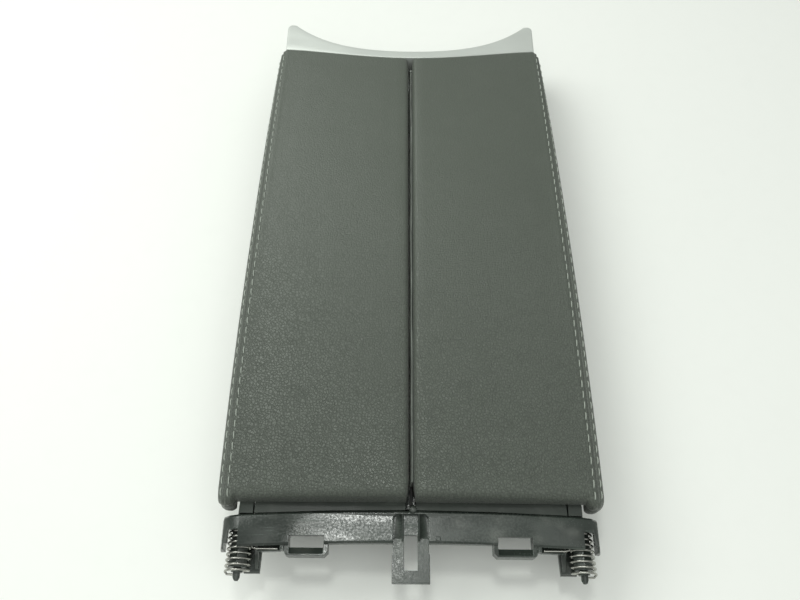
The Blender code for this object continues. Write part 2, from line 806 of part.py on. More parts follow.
def bar_solid(inset, top_drop, under_z):
    """Form of the cross bar: bowed in plan, with ends that round down."""
    half = BAR_HALF - inset
    radius = BAR_END_RADIUS - inset
    steps = arc_steps(radius, (0, 30, 60, 90))
    xs = [-half + s for s in steps]
    flat = half - radius
    xs += [-flat + 2 * flat * k / 10 for k in range(1, 10)]
    xs += [half - s for s in reversed(steps)]
    top = []
    under = []
    for x in xs:
        drop = round_off(half - abs(x), radius)
        front = bar_front_y(x) - inset
        rear = bar_rear_y(x) + inset
        edge = BAR_EDGE if inset == 0 else 0.0004
        ys = (front, front - edge, rear + edge, rear)
        drops = (edge, 0, 0, edge)
        z = BAR_TOP_Z - top_drop - drop
        top.append([(x, y, z - d) for y, d in zip(ys, drops)])
        under.append([(x, y, under_z) for y in ys])
    return grid_solid(top, under)


def bar_strip(x_low, x_high, depth_in, depth_out, low, high):
    """Solid along the bar's bowed rear edge."""
    xs = [x_low + (x_high - x_low) * k / 8 for k in range(9)]
    near = [(x, bar_rear_y(x) + depth_in) for x in xs]
    far = [(x, bar_rear_y(x) - depth_out) for x in reversed(xs)]
    return prism(near + far, low, high)


def make_bar():
    """Hollow cross bar with ribs, open behind under a short lip."""
    bar = bar_solid(0, 0, BAR_UNDER_Z)
    cut(bar, bar_solid(BAR_WALL, BAR_WALL, BAR_UNDER_Z - 0.01))
    open_x = BAR_HALF - BAR_WALL
    lip_x = COIL_ROOM_X
    low = BAR_UNDER_Z - 0.01
    cut(bar, bar_strip(-open_x, open_x, BAR_WALL + 0.0005, 0.004, low, BAR_TOP_Z - LIP_HEIGHT))
    for side in SIDES.values():
        edges = sorted((side * lip_x, side * open_x))
        high = BAR_TOP_Z - BAR_WALL
        cut(bar, bar_strip(edges[0], edges[1], BAR_WALL + 0.0005, 0.004, low, high))
    for x in [side * place for side in SIDES.values() for place in BAR_RIB_X]:
        rear = bar_rear_y(x) + BAR_WALL * 0.8
        rib = block((x - BAR_RIB_HALF, bar_front_y(x) - 0.001, BAR_UNDER_Z + 0.003),
                    (x + BAR_RIB_HALF, rear, BAR_TOP_Z - BAR_WALL / 2))
        join(bar, rib)
    return bar


def add_spring_seat(carrier, side):
    """Mandrel, bracket, leg ledge, side window and pin bore of one spring."""
    wall_y = bar_front_y(AXIS_X)
    mandrel = rod(on_axis(side, wall_y - 0.001), on_axis(side, COIL_REAR_Y + 0.0025), MANDREL_RADIUS)
    join(carrier, mandrel)
    low = AXIS_Z - COIL_RADIUS - WIRE / 2 - 0.0009 - BRACKET_THICK
    outline = [(BRACKET_IN_X, wall_y), (BRACKET_OUT_X, wall_y), (BRACKET_OUT_X, BRACKET_END_Y),
               (BRACKET_IN_X + 0.0012, BRACKET_END_Y)]
    web_x = sorted((side * (BRACKET_IN_X + BRACKET_WEB), side * (BRACKET_IN_X + 2 * BRACKET_WEB)))
    shelf = prism([(side * x, y) for x, y in outline], low, low + BRACKET_THICK)
    wall = block((side * BRACKET_IN_X, wall_y, low), (side * BRACKET_OUT_X, wall_y - BAR_WALL, AXIS_Z))
    web_top = AXIS_Z + 0.001
    web = side_prism([(wall_y, low), (wall_y, web_top), (bar_rear_y(AXIS_X), web_top),
                      (BRACKET_END_Y + 0.002, low + 0.004), (BRACKET_END_Y + 0.002, low)],
                     web_x[0], web_x[1])
    join(carrier, join(shelf, wall, web))
    leg_z = AXIS_Z + COIL_RADIUS - 0.0009 - WIRE / 2 - SEAT_GAP
    ledge_x = sorted((side * (SPRING_LEG_X - 0.0015), side * (COIL_ROOM_X + 0.0002)))
    ledge = bar_strip(ledge_x[0], ledge_x[1], 0.003, 0.0028, leg_z - 0.002, leg_z)
    rim = bar_strip(ledge_x[0], ledge_x[1], -0.0022, 0.0028, leg_z - 0.001, leg_z + 0.0012)
    hanger = block((side * (SPRING_LEG_X - 0.0015), bar_rear_y(SPRING_LEG_X) + 0.003, leg_z - 0.002),
                   (side * (SPRING_LEG_X - 0.0035), bar_rear_y(SPRING_LEG_X) - 0.0025, BAR_TOP_Z - 0.0015))
    join(carrier, join(ledge, rim, hanger))
    window_out = BAR_HALF - WINDOW_LIP
    window_front = COIL_FRONT_Y
    rear = bar_rear_y(BAR_HALF) - 0.004
    cut(carrier, block((side * (window_out - WINDOW_WIDTH), window_front, AXIS_Z + 0.003),
                       (side * window_out, rear, BAR_TOP_Z + 0.01)))
    cut(carrier, rod(on_axis(side, wall_y + 0.004), on_axis(side, COIL_REAR_Y - 0.004),
                     PIN_RADIUS + BORE_GAP))


def add_tongue(carrier):
    """Recess with two ribs in the bar, and the slotted tongue behind it."""
    floor_z = BAR_TOP_Z - RECESS_DEPTH
    front = bar_front_y(0) - 0.0018
    bar_rear = bar_rear_y(0)
    floor = block((-TONGUE_HALF - 0.002, bar_front_y(0) - 0.001, floor_z - TONGUE_THICK),
                  (TONGUE_HALF + 0.002, bar_rear + 0.0002, floor_z))
    join(carrier, floor)
    rounding = 0.002
    outline = [(-TONGUE_HALF, bar_rear - 0.001), (TONGUE_HALF, bar_rear - 0.001),
               (TONGUE_HALF, front - rounding), (TONGUE_HALF - rounding, front),
               (-TONGUE_HALF + rounding, front), (-TONGUE_HALF, front - rounding)]
    cut(carrier, prism(outline, floor_z, BAR_TOP_Z + 0.01))
    step_y = bar_rear - 0.0053
    wide = TONGUE_HALF + TONGUE_STEP
    shape = [(-TONGUE_HALF, bar_rear + 0.003), (-TONGUE_HALF, step_y), (-wide, step_y - 0.001),
             (-wide, TONGUE_END_Y), (wide, TONGUE_END_Y), (wide, step_y - 0.001),
             (TONGUE_HALF, step_y), (TONGUE_HALF, bar_rear + 0.003)]
    low = TONGUE_TOP_Z - TONGUE_THICK
    tongue = prism(shape, low, TONGUE_TOP_Z)
    end = block((-wide, TONGUE_END_Y, low - 0.0015), (wide, TONGUE_END_Y + 0.0016, low + 0.001))
    join(tongue, end)
    for side in SIDES.values():
        rail = block((side * (wide - 0.0014), TONGUE_END_Y + 0.001, low - 0.0015),
                     (side * TONGUE_HALF, bar_rear + 0.003, low + 0.001))
        join(tongue, rail)
    join(carrier, tongue)
    slot_front = bar_rear + TONGUE_SLOT_IN
    cut(carrier, block((-TONGUE_SLOT_HALF, slot_front, low - 0.01),
                       (TONGUE_SLOT_HALF, slot_front - TONGUE_SLOT_LENGTH, BAR_TOP_Z + 0.01)))
    for side in SIDES.values():
        rib = block((side * RIB_X - RIB_THICK / 2, front + 0.0006, floor_z - 0.001),
                    (side * RIB_X + RIB_THICK / 2, bar_rear + 0.0015, floor_z + 0.0022))
        join(carrier, rib)
    pip = (0.0158, bar_rear + 0.0024)
    join(carrier, upright(pip[0], pip[1], BAR_TOP_Z - 0.001, BAR_TOP_Z + 0.0006, 0.0014, 10))
    nub = (0.0012, bar_front_y(0) + 0.0006)
    join(carrier, lathe(Vector((nub[0], nub[1], BAR_TOP_Z - 0.0018)),
                        Vector((nub[0], nub[1], BAR_TOP_Z + 0.0022)),
                        [(0, 0.0024), (0.7, 0.0024), (0.9, 0.0019), (1, 0.001)], 12))


def add_loop(carrier, side):
    """Clip loop behind the cross bar, with its window."""
    outer = LOOP_X + LOOP_HALF
    inner = LOOP_X - LOOP_HALF
    front = bar_rear_y(LOOP_X) + 0.0022
    corner = 0.0022
    outline = [(inner, front), (inner, LOOP_END_Y + corner), (inner + corner, LOOP_END_Y),
               (outer - corner, LOOP_END_Y), (outer - corner * 0.3, LOOP_END_Y + corner * 0.3),
               (outer, LOOP_END_Y + corner), (outer, front)]
    top = BAR_TOP_Z - 0.0022
    loop = prism([(side * x, y) for x, y in outline], top - LOOP_HEIGHT, top)
    join(carrier, loop)
    window_front = bar_rear_y(LOOP_X) + 0.0046
    cut(carrier, block((side * (inner + LOOP_WALL), window_front, BAR_UNDER_Z - 0.01),
                       (side * (outer - LOOP_WALL), window_front - LOOP_WINDOW_DEPTH, BAR_TOP_Z + 0.01)))
    slope_x = sorted((side * (inner + LOOP_WALL + 0.0003), side * (outer - LOOP_WALL - 0.0003)))
    slope = side_prism([(window_front - LOOP_WINDOW_DEPTH + 0.001, top - 0.0012),
                        (LOOP_END_Y + 0.001, top - 0.0004), (LOOP_END_Y + 0.001, top + 0.004),
                        (window_front - LOOP_WINDOW_DEPTH + 0.001, top + 0.004)],
                       slope_x[0], slope_x[1])
    cut(carrier, slope)


def ring_outline(offset):
    """Rounded outline that follows the hinge lines, moved out by an offset."""
    right = []
    corner = RING_CORNER + offset
    for y_end, turn in ((RING_REAR_Y - offset, -1), (RING_FRONT_Y + offset, 1)):
        angles = (0, 30, 60, 90) if turn == 1 else (90, 60, 30, 0)
        centre_y = y_end - turn * corner
        centre_x = axis_x(centre_y) - RING_TO_AXIS + offset - corner
        for a in angles:
            angle = math.radians(a)
            right.append((centre_x + corner * math.cos(angle), centre_y + turn * corner * math.sin(angle)))
    return right + [(-x, y) for x, y in reversed(right)]


def make_ring():
    """Upright wall around the storage opening, with a flange and outer ribs."""
    flange_z = FLANGE_TOP_Z - FLANGE_THICK
    ring = prism(ring_outline(0), 0, FLANGE_TOP_Z)
    join(ring, prism(ring_outline(FLANGE_OUT), flange_z, FLANGE_TOP_Z))
    for side in SIDES.values():
        for k in range(SIDE_RIBS):
            span = RING_FRONT_Y - RING_REAR_Y - 2 * SIDE_RIB_END
            y = RING_REAR_Y + SIDE_RIB_END + span * k / (SIDE_RIBS - 1)
            x = axis_x(y) - RING_TO_AXIS
            rib = block((side * (x - 0.001), y - SIDE_RIB_HALF, 0.004),
                        (side * (x + FLANGE_OUT * 0.8), y + SIDE_RIB_HALF, flange_z + 0.001))
            join(ring, rib)
    cut(ring, prism(ring_outline(-RING_WALL), -0.01, FLANGE_TOP_Z + 0.01))
    return ring


def trim_solid(inset, top_drop, under_z, back_z):
    """Form of the bezel, moved inwards, with a higher underside behind."""
    half = TRIM_HALF - inset
    top = []
    under = []
    edge = max(TRIM_EDGE - inset, 0.0006)
    for x in trim_stations(half):
        rear = trim_rear_y(x) + inset
        front = trim_front_y(x) - inset - tip_rounding(x, half)
        ys = (rear, rear + 0.0010, front - edge, front - edge * 0.3, front)
        drops = (0.0004, 0.0, 0.0, round_off(edge * 0.3, edge), edge)
        side_drop = 0.0012 if abs(x) == half else 0.0
        z = crown_z(x) - TRIM_STEP - top_drop - side_drop
        top.append([(x, y, z - d) for y, d in zip(ys, drops)])
        under.append([(x, y, under_z if k > 1 else back_z) for k, y in enumerate(ys)])
    return grid_solid(top, under)


def make_trim():
    """Silver bezel: a thin shell with the button's opening and four screw bosses."""
    trim = trim_solid(0, 0, TRIM_UNDER_Z, TRIM_BACK_Z)
    cut(trim, trim_solid(TRIM_WALL, TRIM_WALL, TRIM_UNDER_Z - 0.01, TRIM_UNDER_Z - 0.01))
    gap = BORE_GAP
    cut(trim, block((-BUTTON_HALF - gap, trim_rear_y(0) + 0.0005, BUTTON_LOW_Z - gap),
                    (BUTTON_HALF + gap, trim_front_y(BUTTON_HALF) + 0.01, BUTTON_HIGH_Z + gap)))
    shelf_top = SHELF_Z + NOSE_WALL
    for side in SIDES.values():
        for x in TRIM_SCREW_X:
            y = trim_boss_y(x)
            top = crown_z(x) - TRIM_STEP - TRIM_WALL / 2
            radius = SCREW_SHANK + SEAT_GAP + TRIM_BOSS_WALL
            join(trim, upright(side * x, y, shelf_top + SEAT_GAP, top, radius))
            screw_top = shelf_top + SCREW_LENGTH
            cut(trim, upright(side * x, y, shelf_top - 0.001, screw_top, SCREW_SHANK + SEAT_GAP))
            place = "inner" if x == TRIM_SCREW_X[0] else "outer"
            side_name = "left" if side < 0 else "right"
            make_screw(f"{side_name}_trim_screw_{place}", side * x, y, SHELF_Z)
    finish(trim, "front_trim", "satin silver")


def nose_wall():
    """Curved front wall of the carrier, just inside the bezel."""
    gap = TRIM_WALL + SEAT_GAP
    half = TRIM_HALF - gap
    top = []
    under = []
    for x in trim_stations(half):
        front = trim_front_y(x) - gap - tip_rounding(x, half)
        rear = front - NOSE_WALL
        z = crown_z(x) - TRIM_STEP - gap - 0.0035
        top.append([(x, y, z) for y in (rear, front)])
        under.append([(x, y, NOSE_UNDER_Z) for y in (rear, front)])
    return grid_solid(top, under)


def add_nose(carrier):
    """Front wall, side walls, shelves, deck and hinge ears at the front end."""
    nose = nose_wall()
    gap = TRIM_WALL + SEAT_GAP
    half = TRIM_HALF - gap
    for side in SIDES.values():
        wall_rear = trim_rear_y(half) + gap
        wall = block((side * half, wall_rear, NOSE_UNDER_Z),
                     (side * (half - NOSE_WALL), TIP_Y - gap - 0.003, SHELF_Z + NOSE_WALL))
        join(nose, wall)
        xs = [SHELF_INNER_X + (half - 0.001 - SHELF_INNER_X) * k / 5 for k in range(6)]
        rear = [(side * x, trim_rear_y(x) + gap + 0.0008) for x in xs]
        front = [(side * x, trim_front_y(x) - gap - NOSE_WALL / 2) for x in reversed(xs)]
        join(nose, prism(rear + front, SHELF_Z, SHELF_Z + NOSE_WALL))
    edge_x = half - NOSE_WALL / 2
    corner_y = trim_rear_y(half) + gap
    curve = [(edge_x * k / 6, trim_front_y(edge_x * k / 6) - gap - NOSE_WALL / 2) for k in range(7)]
    deck = axis_x(RING_FRONT_Y) - DECK_TO_AXIS
    right = [(deck - 0.006, RING_FRONT_Y - 0.001), (deck - 0.006, RING_FRONT_Y + 0.004),
             (deck, RING_FRONT_Y + 0.026), (deck, corner_y), (edge_x, corner_y + 0.002)]
    right += [(x, y) for x, y in reversed(curve[1:])]
    outline = right + [(0, curve[0][1])] + [(-x, y) for x, y in reversed(right)]
    join(nose, prism(outline, DECK_Z, DECK_Z + NOSE_WALL))
    join(carrier, nose)
    ear_low = RING_FRONT_Y + 0.008 + ARM_LENGTH + 0.0038
    for side in SIDES.values():
        ear = rod(on_axis(side, ear_low), on_axis(side, ear_low + EAR_THICK), ARM_RADIUS + 0.0008)
        inner = deck - 0.004
        arm = block((side * inner, ear_low + 0.0005, DECK_Z - 0.001),
                    (side * axis_x(ear_low), ear_low + EAR_THICK - 0.0005, AXIS_Z + 0.004))
        join(ear, arm)
        cut(ear, rod(on_axis(side, ear_low - 0.003), on_axis(side, ear_low + 0.006),
                     PIN_RADIUS + BORE_GAP))
        join(carrier, ear)
    cut_latch_ways(carrier)
    for side in SIDES.values():
        for x in TRIM_SCREW_X:
            y = trim_boss_y(x)
            cut(carrier, upright(side * x, y, SHELF_Z - 0.004, SHELF_Z + 0.01, SCREW_SHANK + BORE_GAP))


def cut_latch_ways(carrier):
    """Openings for the button, its shank, the lever and the strikers."""
    top = BUTTON_HIGH_Z + 0.001
    low = BUTTON_LOW_Z - 0.001
    room = BUTTON_HALF + 0.001
    rear = trim_front_y(0) + BUTTON_PROUD - BUTTON_WALL - BUTTON_TRAVEL - 0.0008
    cut(carrier, block((-room, rear, low), (room, TIP_Y, top)))
    window_front = SHAFT_Y + WINDOW_TO_FRONT
    half = LATCH_WINDOW_HALF
    cut(carrier, block((-half, SHAFT_Y - LEVER_ROOM, DECK_Z - 0.002), (half, window_front, DECK_Z + 0.01)))
    slot = SHANK_HALF + BORE_GAP
    cut(carrier, block((-slot, window_front - 0.001, DECK_Z - 0.002), (slot, rear + 0.002, DECK_Z + 0.01)))


def make_carrier():
    """The whole black moulding: cross bar, ring and nose in one piece."""
    carrier = make_bar()
    ring = make_ring()
    web_x = axis_x(RING_REAR_Y) - 0.0065
    web_rear = bar_front_y(0) - BAR_WALL / 2
    web = block((-web_x, RING_REAR_Y + RING_WALL / 2, BAR_UNDER_Z + 0.001),
                (web_x, web_rear - BAR_BOW * 0.8, BAR_UNDER_Z + 0.0035))
    join(carrier, web)
    join(carrier, ring)
    for side in SIDES.values():
        add_spring_seat(carrier, side)
        add_loop(carrier, side)
    add_tongue(carrier)
    add_nose(carrier)
    for side in SIDES.values():
        for y in STOP_Y:
            cut(carrier, upright(side * stop_x(y), y, FLANGE_TOP_Z - 0.006, FLANGE_TOP_Z + 0.01,
                                 STOP_RADIUS * 0.4 + SEAT_GAP))
    finish(carrier, "carrier_frame", "carrier plastic")


def stop_x(y):
    return axis_x(y) - RING_TO_AXIS + FLANGE_OUT * 0.45


def make_stops():
    """Rubber stops on the flange, under the liners."""
    liner_z = LID_BASE_Z - SEAT_GAP - LINER_THICK
    for side_name, side in SIDES.items():
        for y, end in zip(STOP_Y, ("rear", "front")):
            x = side * stop_x(y)
            low = FLANGE_TOP_Z + SEAT_GAP
            high = liner_z - SEAT_GAP
            stop = lathe(Vector((x, y, low)), Vector((x, y, high)),
                         [(0, STOP_RADIUS * 0.62), (0.6, STOP_RADIUS * 0.62), (1, STOP_RADIUS * 0.45)], 12)
            join(stop, upright(x, y, FLANGE_TOP_Z - FLANGE_THICK, low + 0.0002, STOP_RADIUS * 0.4, 10))
            finish(stop, f"{side_name}_{end}_stop", "rubber")


def make_strikers(side_name, side, empty):
    """Striker: plate under the liner, with a hook that faces rearwards."""
    plate_z = LID_BASE_Z - SEAT_GAP - LINER_THICK - SEAT_GAP
    face_y = SHAFT_Y + LEVER_THICK / 2 + NOSE_REACH + SEAT_GAP
    stem_y = face_y + 0.0013
    stem_end = stem_y + STRIKER_THICK
    low = HOOK_Z - 0.0035
    plate = block((side * (HOOK_IN_X - 0.001), face_y - 0.006, plate_z - 0.002),
                  (side * (HOOK_OUT_X + 0.006), stem_end + 0.001, plate_z))
    hook = side_prism([(stem_y, plate_z - 0.001), (stem_y, HOOK_Z - 0.0005), (face_y, HOOK_Z - 0.0005),
                       (face_y, low + 0.001), (stem_y, low), (stem_end, low), (stem_end, plate_z - 0.001)],
                      min(side * HOOK_IN_X, side * HOOK_OUT_X), max(side * HOOK_IN_X, side * HOOK_OUT_X))
    finish(join(plate, hook), f"{side_name}_striker", "pale plastic", empty)


def make_latch(lever_empty, button_empty):
    """Housing, shaft, lever with two hooks, its spring, and the release button."""
    bottom = HOUSING_UNDER_Z
    top = DECK_Z - SEAT_GAP
    rear = SHAFT_Y - HOUSING_REAR
    front = SHAFT_Y + WINDOW_TO_FRONT + 0.0018
    housing = block((-HOUSING_HALF, rear, top - 0.0022), (HOUSING_HALF, front, top))
    for side in SIDES.values():
        inner = side * CHEEK_IN_X
        outer = side * (CHEEK_IN_X + CHEEK_THICK)
        join(housing, block((inner, SHAFT_Y - 0.006, bottom), (outer, SHAFT_Y + 0.007, top - 0.001)))
    cut(housing, block((-LATCH_WINDOW_HALF, rear + HOUSING_BAR, top - 0.01),
                       (LATCH_WINDOW_HALF, SHAFT_Y + WINDOW_TO_FRONT, top + 0.01)))
    slot = SHANK_HALF + BORE_GAP
    cut(housing, block((-slot, SHAFT_Y, top - 0.01), (slot, front + 0.001, top + 0.01)))
    shaft_line = (Vector((-SHAFT_HALF, SHAFT_Y, SHAFT_Z)), Vector((SHAFT_HALF, SHAFT_Y, SHAFT_Z)))
    bore_line = (shaft_line[0] - Vector((0.003, 0, 0)), shaft_line[1] + Vector((0.003, 0, 0)))
    cut(housing, rod(bore_line[0], bore_line[1], SHAFT_RADIUS + SEAT_GAP))
    finish(housing, "latch_housing", "shell plastic")
    finish(rod(shaft_line[0], shaft_line[1], SHAFT_RADIUS, 14), "latch_shaft", "spring steel")

    half_thick = LEVER_THICK / 2
    arm_low = SHAFT_Z + HUB_RADIUS + 0.0005
    rear = SHAFT_Y - half_thick
    front = SHAFT_Y + half_thick
    lever = block((-LEVER_HALF, rear, arm_low), (LEVER_HALF, front, LEVER_TOP_Z))
    join(lever, block((-LEVER_HALF, rear, SHAFT_Z), (HUB_END_X, front, arm_low + 0.001)))
    hub = rod(Vector((-LEVER_HALF - HUB_PROUD, SHAFT_Y, SHAFT_Z)),
              Vector((HUB_END_X + HUB_PROUD, SHAFT_Y, SHAFT_Z)), HUB_RADIUS)
    join(lever, hub)
    for side in SIDES.values():
        reach = SHAFT_Y + half_thick + NOSE_REACH
        nose = side_prism([(SHAFT_Y, HOOK_Z), (reach, HOOK_Z), (reach, HOOK_Z + HOOK_THICK * 0.4),
                           (SHAFT_Y + half_thick, HOOK_Z + HOOK_THICK), (SHAFT_Y, HOOK_Z + HOOK_THICK)],
                          min(side * HOOK_IN_X, side * HOOK_OUT_X), max(side * HOOK_IN_X, side * HOOK_OUT_X))
        join(lever, nose)
    cut(lever, rod(bore_line[0], bore_line[1], SHAFT_RADIUS + BORE_GAP))
    finish(lever, "latch_lever", "pale plastic", lever_empty)
    make_latch_spring()
    make_button(button_empty)


def make_latch_spring():
    """Small torsion spring on the latch shaft, one leg up behind the lever."""
    radius = SHAFT_RADIUS + 0.0009
    thick = 0.0004
    start_x = HUB_END_X + 0.0012
    end_x = CHEEK_IN_X - 0.0012
    rear = SHAFT_Y - LEVER_THICK / 2 - SEAT_GAP - thick
    points = [Vector((start_x, rear, SHAFT_Z + 0.012)), Vector((start_x, rear, SHAFT_Z + 0.004))]
    turns = 4
    steps = 8
    for k in range(turns * steps + 1):
        angle = math.pi + 2 * math.pi * k / steps
        x = start_x + (end_x - start_x) * k / (turns * steps)
        points.append(Vector((x, SHAFT_Y + radius * math.cos(angle), SHAFT_Z + radius * math.sin(angle))))
    points.append(Vector((end_x, SHAFT_Y - radius, SHAFT_Z - 0.004)))
    points.append(Vector((end_x, SHAFT_Y - radius, SHAFT_Z - 0.0062)))
    finish(wire(points, thick, 4), "latch_spring", "spring steel")


def make_button(empty):
    """Curved push button with its shank, which reaches back to the lever."""
    xs = [BUTTON_HALF * k / 4 for k in range(-4, 5)]
    top = []
    under = []
    for x in xs:
        front = trim_front_y(x) + BUTTON_PROUD
        ys = (front - BUTTON_WALL, front - 0.0008, front)
        drops = (0, 0, 0.0008)
        top.append([(x, y, BUTTON_HIGH_Z - d) for y, d in zip(ys, drops)])
        under.append([(x, y, BUTTON_LOW_Z + d) for y, d in zip(ys, drops)])
    button = grid_solid(top, under)
    tip = SHAFT_Y + LEVER_THICK / 2 + SHANK_GAP
    back = trim_front_y(0) + BUTTON_PROUD - BUTTON_WALL + 0.001
    half_high = 0.0018
    shank = side_prism([(tip + 0.0008, SHANK_Z - half_high), (back, SHANK_Z - half_high),
                        (back, SHANK_Z + half_high), (tip + 0.0008, SHANK_Z + half_high),
                        (tip, SHANK_Z + half_high * 0.5), (tip, SHANK_Z - half_high * 0.5)],
                       -SHANK_HALF, SHANK_HALF)
    join(button, shank)
    finish(button, "release_button", "satin silver", empty)


def make_gap_seal(empty):
    """Thin strip along the gap side of the right lid."""
    x = CENTRE_GAP / 2 - SEAT_GAP
    low = LID_BASE_Z + 0.0005
    front = FRONT_Y - END_RADIUS - SEAL_END
    rear = REAR_Y + END_RADIUS + SEAL_END
    strip = block((x, rear, low), (x - SEAL_THICK, front, low + SEAL_HEIGHT))
    finish(strip, "gap_seal", "rubber", empty)


def make_lid(side_name, side):
    empty = joint_empty(f"{side_name}_lid_axis", on_axis(side, AXIS_Y), side * AXIS_TOE)
    make_leather(side_name, side, empty)
    make_foam(side_name, side, empty)
    make_shell(side_name, side, empty)
    make_liner(side_name, side, empty)
    make_pins(side_name, side, empty)
    make_strikers(side_name, side, empty)
    if side > 0:
        make_gap_seal(empty)
    make_spring(side_name, side)


def main():
    make_carrier()
    make_trim()
    make_stops()
    for side_name, side in SIDES.items():
        make_lid(side_name, side)
    lever_empty = joint_empty("latch_axis", (0, SHAFT_Y, SHAFT_Z))
    button_empty = joint_empty("button_axis", (0, trim_front_y(0), SHANK_Z))
    make_latch(lever_empty, button_empty)


for old in list(bpy.data.objects):
    bpy.data.objects.remove(old)
MATERIALS = make_materials()
main()
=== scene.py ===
"""Looks of a centre console armrest: two padded leather lids, a silver bezel and a moulded carrier.

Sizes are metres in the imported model's frame: +X right, +Y to the bezel, +Z up. Each class dresses
one sub-assembly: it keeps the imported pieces, gives them their finish, and builds the leather, the
stitching, the bezel's skin, the wires and the seal as fine meshes in the places of plain solids.
"""
import json
import logging
import math
from dataclasses import dataclass
from enum import Enum
from typing import Iterable, Sequence

import bmesh
import bpy
from mathutils import Matrix, Vector, noise

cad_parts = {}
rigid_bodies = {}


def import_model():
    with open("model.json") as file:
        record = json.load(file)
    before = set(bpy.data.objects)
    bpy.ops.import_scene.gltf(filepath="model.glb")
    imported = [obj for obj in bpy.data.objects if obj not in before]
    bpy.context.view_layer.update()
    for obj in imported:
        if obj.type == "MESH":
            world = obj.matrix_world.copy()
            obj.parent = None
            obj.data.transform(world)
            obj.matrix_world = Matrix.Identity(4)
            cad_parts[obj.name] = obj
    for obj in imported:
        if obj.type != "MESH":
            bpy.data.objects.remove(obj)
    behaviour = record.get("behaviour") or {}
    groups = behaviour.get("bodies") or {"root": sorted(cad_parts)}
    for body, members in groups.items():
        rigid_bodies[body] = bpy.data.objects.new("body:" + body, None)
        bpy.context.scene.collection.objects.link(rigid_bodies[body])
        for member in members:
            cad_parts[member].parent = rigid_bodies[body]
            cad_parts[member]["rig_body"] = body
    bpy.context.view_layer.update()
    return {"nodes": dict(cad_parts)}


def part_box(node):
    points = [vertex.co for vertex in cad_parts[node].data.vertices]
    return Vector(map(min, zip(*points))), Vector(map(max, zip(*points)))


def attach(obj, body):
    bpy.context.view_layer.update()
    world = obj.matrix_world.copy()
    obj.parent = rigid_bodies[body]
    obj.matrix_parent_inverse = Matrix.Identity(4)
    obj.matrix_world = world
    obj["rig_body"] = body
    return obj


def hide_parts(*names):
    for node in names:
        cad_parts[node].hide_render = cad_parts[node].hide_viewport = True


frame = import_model()

LOG = logging.getLogger("armrest")
Socket = bpy.types.NodeSocket
Point = tuple[float, float, float]
Grid = list[list[Point]]

# Two grid lines this far apart stand for one sharp step.
HAIR = 0.00005
# Slack of a comparison between two places.
TINY = 0.00001


class Side(Enum):
    """The two lids, seen from the rear with the bezel far away."""

    LEFT = "left"
    RIGHT = "right"

    @property
    def sign(self) -> int:
        """-1 on the left and 1 on the right."""
        return -1 if self is Side.LEFT else 1

    @property
    def lid(self) -> str:
        """Name of the body that the lid's pieces ride on."""
        return f"{self.value}_lid"


class Effect(Enum):
    """Shader effects that several finishes share."""

    GRAIN = "hide grain"
    MOULD = "mould texture"
    # Edge mask: rubbing, and a painted highlight along the edges.
    WEAR = "edge wear"
    DUST = "settled dust"
    SCUFFS = "fine scuffs"


class Tree:
    """Short ways to add and join the nodes of one shader tree."""

    def __init__(self, tree: bpy.types.NodeTree) -> None:
        """Wrap a node tree.

        Args:
            tree: The tree of a material, a world or a group.
        """
        self.tree = tree

    def add(self, kind: str, inputs: dict | None = None, **settings: object) -> bpy.types.Node:
        """Add a node.

        Args:
            kind: Blender's name of the node type.
            inputs: Values or sockets for the node's inputs, by name or index.
            settings: Properties of the node.

        Returns:
            The new node.
        """
        node = self.tree.nodes.new(kind)
        for name, value in settings.items():
            setattr(node, name, value)
        for key, value in (inputs or {}).items():
            self.feed(node.inputs[key], value)
        return node

    def feed(self, target: Socket, value: object) -> None:
        """Link a socket to an input, or set the input's value."""
        if isinstance(value, bpy.types.NodeSocket):
            self.tree.links.new(value, target)
        else:
            target.default_value = value

    def math(self, operation: str, *values: object) -> Socket:
        """Output of a Math node with these inputs."""
        node = self.add("ShaderNodeMath", dict(enumerate(values)), operation=operation)
        return node.outputs[0]

    def vector(self, operation: str, *values: object) -> Socket:
        """Vector output of a Vector Math node with these inputs."""
        node = self.add("ShaderNodeVectorMath", dict(enumerate(values)), operation=operation)
        return node.outputs["Vector"]

    def scaled(self, vector: Socket, factor: object) -> Socket:
        """A vector times a number or a socket."""
        node = self.add("ShaderNodeVectorMath", {0: vector, "Scale": factor}, operation="SCALE")
        return node.outputs["Vector"]

    def stretched(self, vector: Socket, scale: Point, turn: float = 0.0) -> Socket:
        """A vector turned about Z and scaled by axis."""
        node = self.add("ShaderNodeMapping", {"Vector": vector, "Scale": scale, "Rotation": (0, 0, turn)})
        return node.outputs["Vector"]

    def step(self, value: object, low: float, high: float, start: float = 0.0, end: float = 1.0) -> Socket:
        """Smooth step of a value.

        Args:
            value: The socket or number that is mapped.
            low: Where the step starts.
            high: Where the step ends.
            start: Output below low.
            end: Output above high.

        Returns:
            The stepped value.
        """
        node = self.add(
            "ShaderNodeMapRange",
            {"Value": value, "From Min": low, "From Max": high, "To Min": start, "To Max": end},
            interpolation_type="SMOOTHSTEP")
        return node.outputs["Result"]

    def mix(self, factor: object, first: object, second: object) -> Socket:
        """Mix of two colours."""
        node = self.add("ShaderNodeMix", {0: factor, 6: first, 7: second}, data_type="RGBA")
        return node.outputs[2]

    def noise(self, vector: Socket, scale: float, detail: float = 3.0) -> Socket:
        """Value of a noise texture, from 0 to 1."""
        node = self.add("ShaderNodeTexNoise", {"Vector": vector, "Scale": scale, "Detail": detail})
        return node.outputs["Fac"]

    def cells(self, vector: Socket, scale: float, feature: str = "DISTANCE_TO_EDGE") -> Socket:
        """Distance output of a Voronoi texture."""
        node = self.add("ShaderNodeTexVoronoi", {"Vector": vector, "Scale": scale}, feature=feature)
        return node.outputs["Distance"]


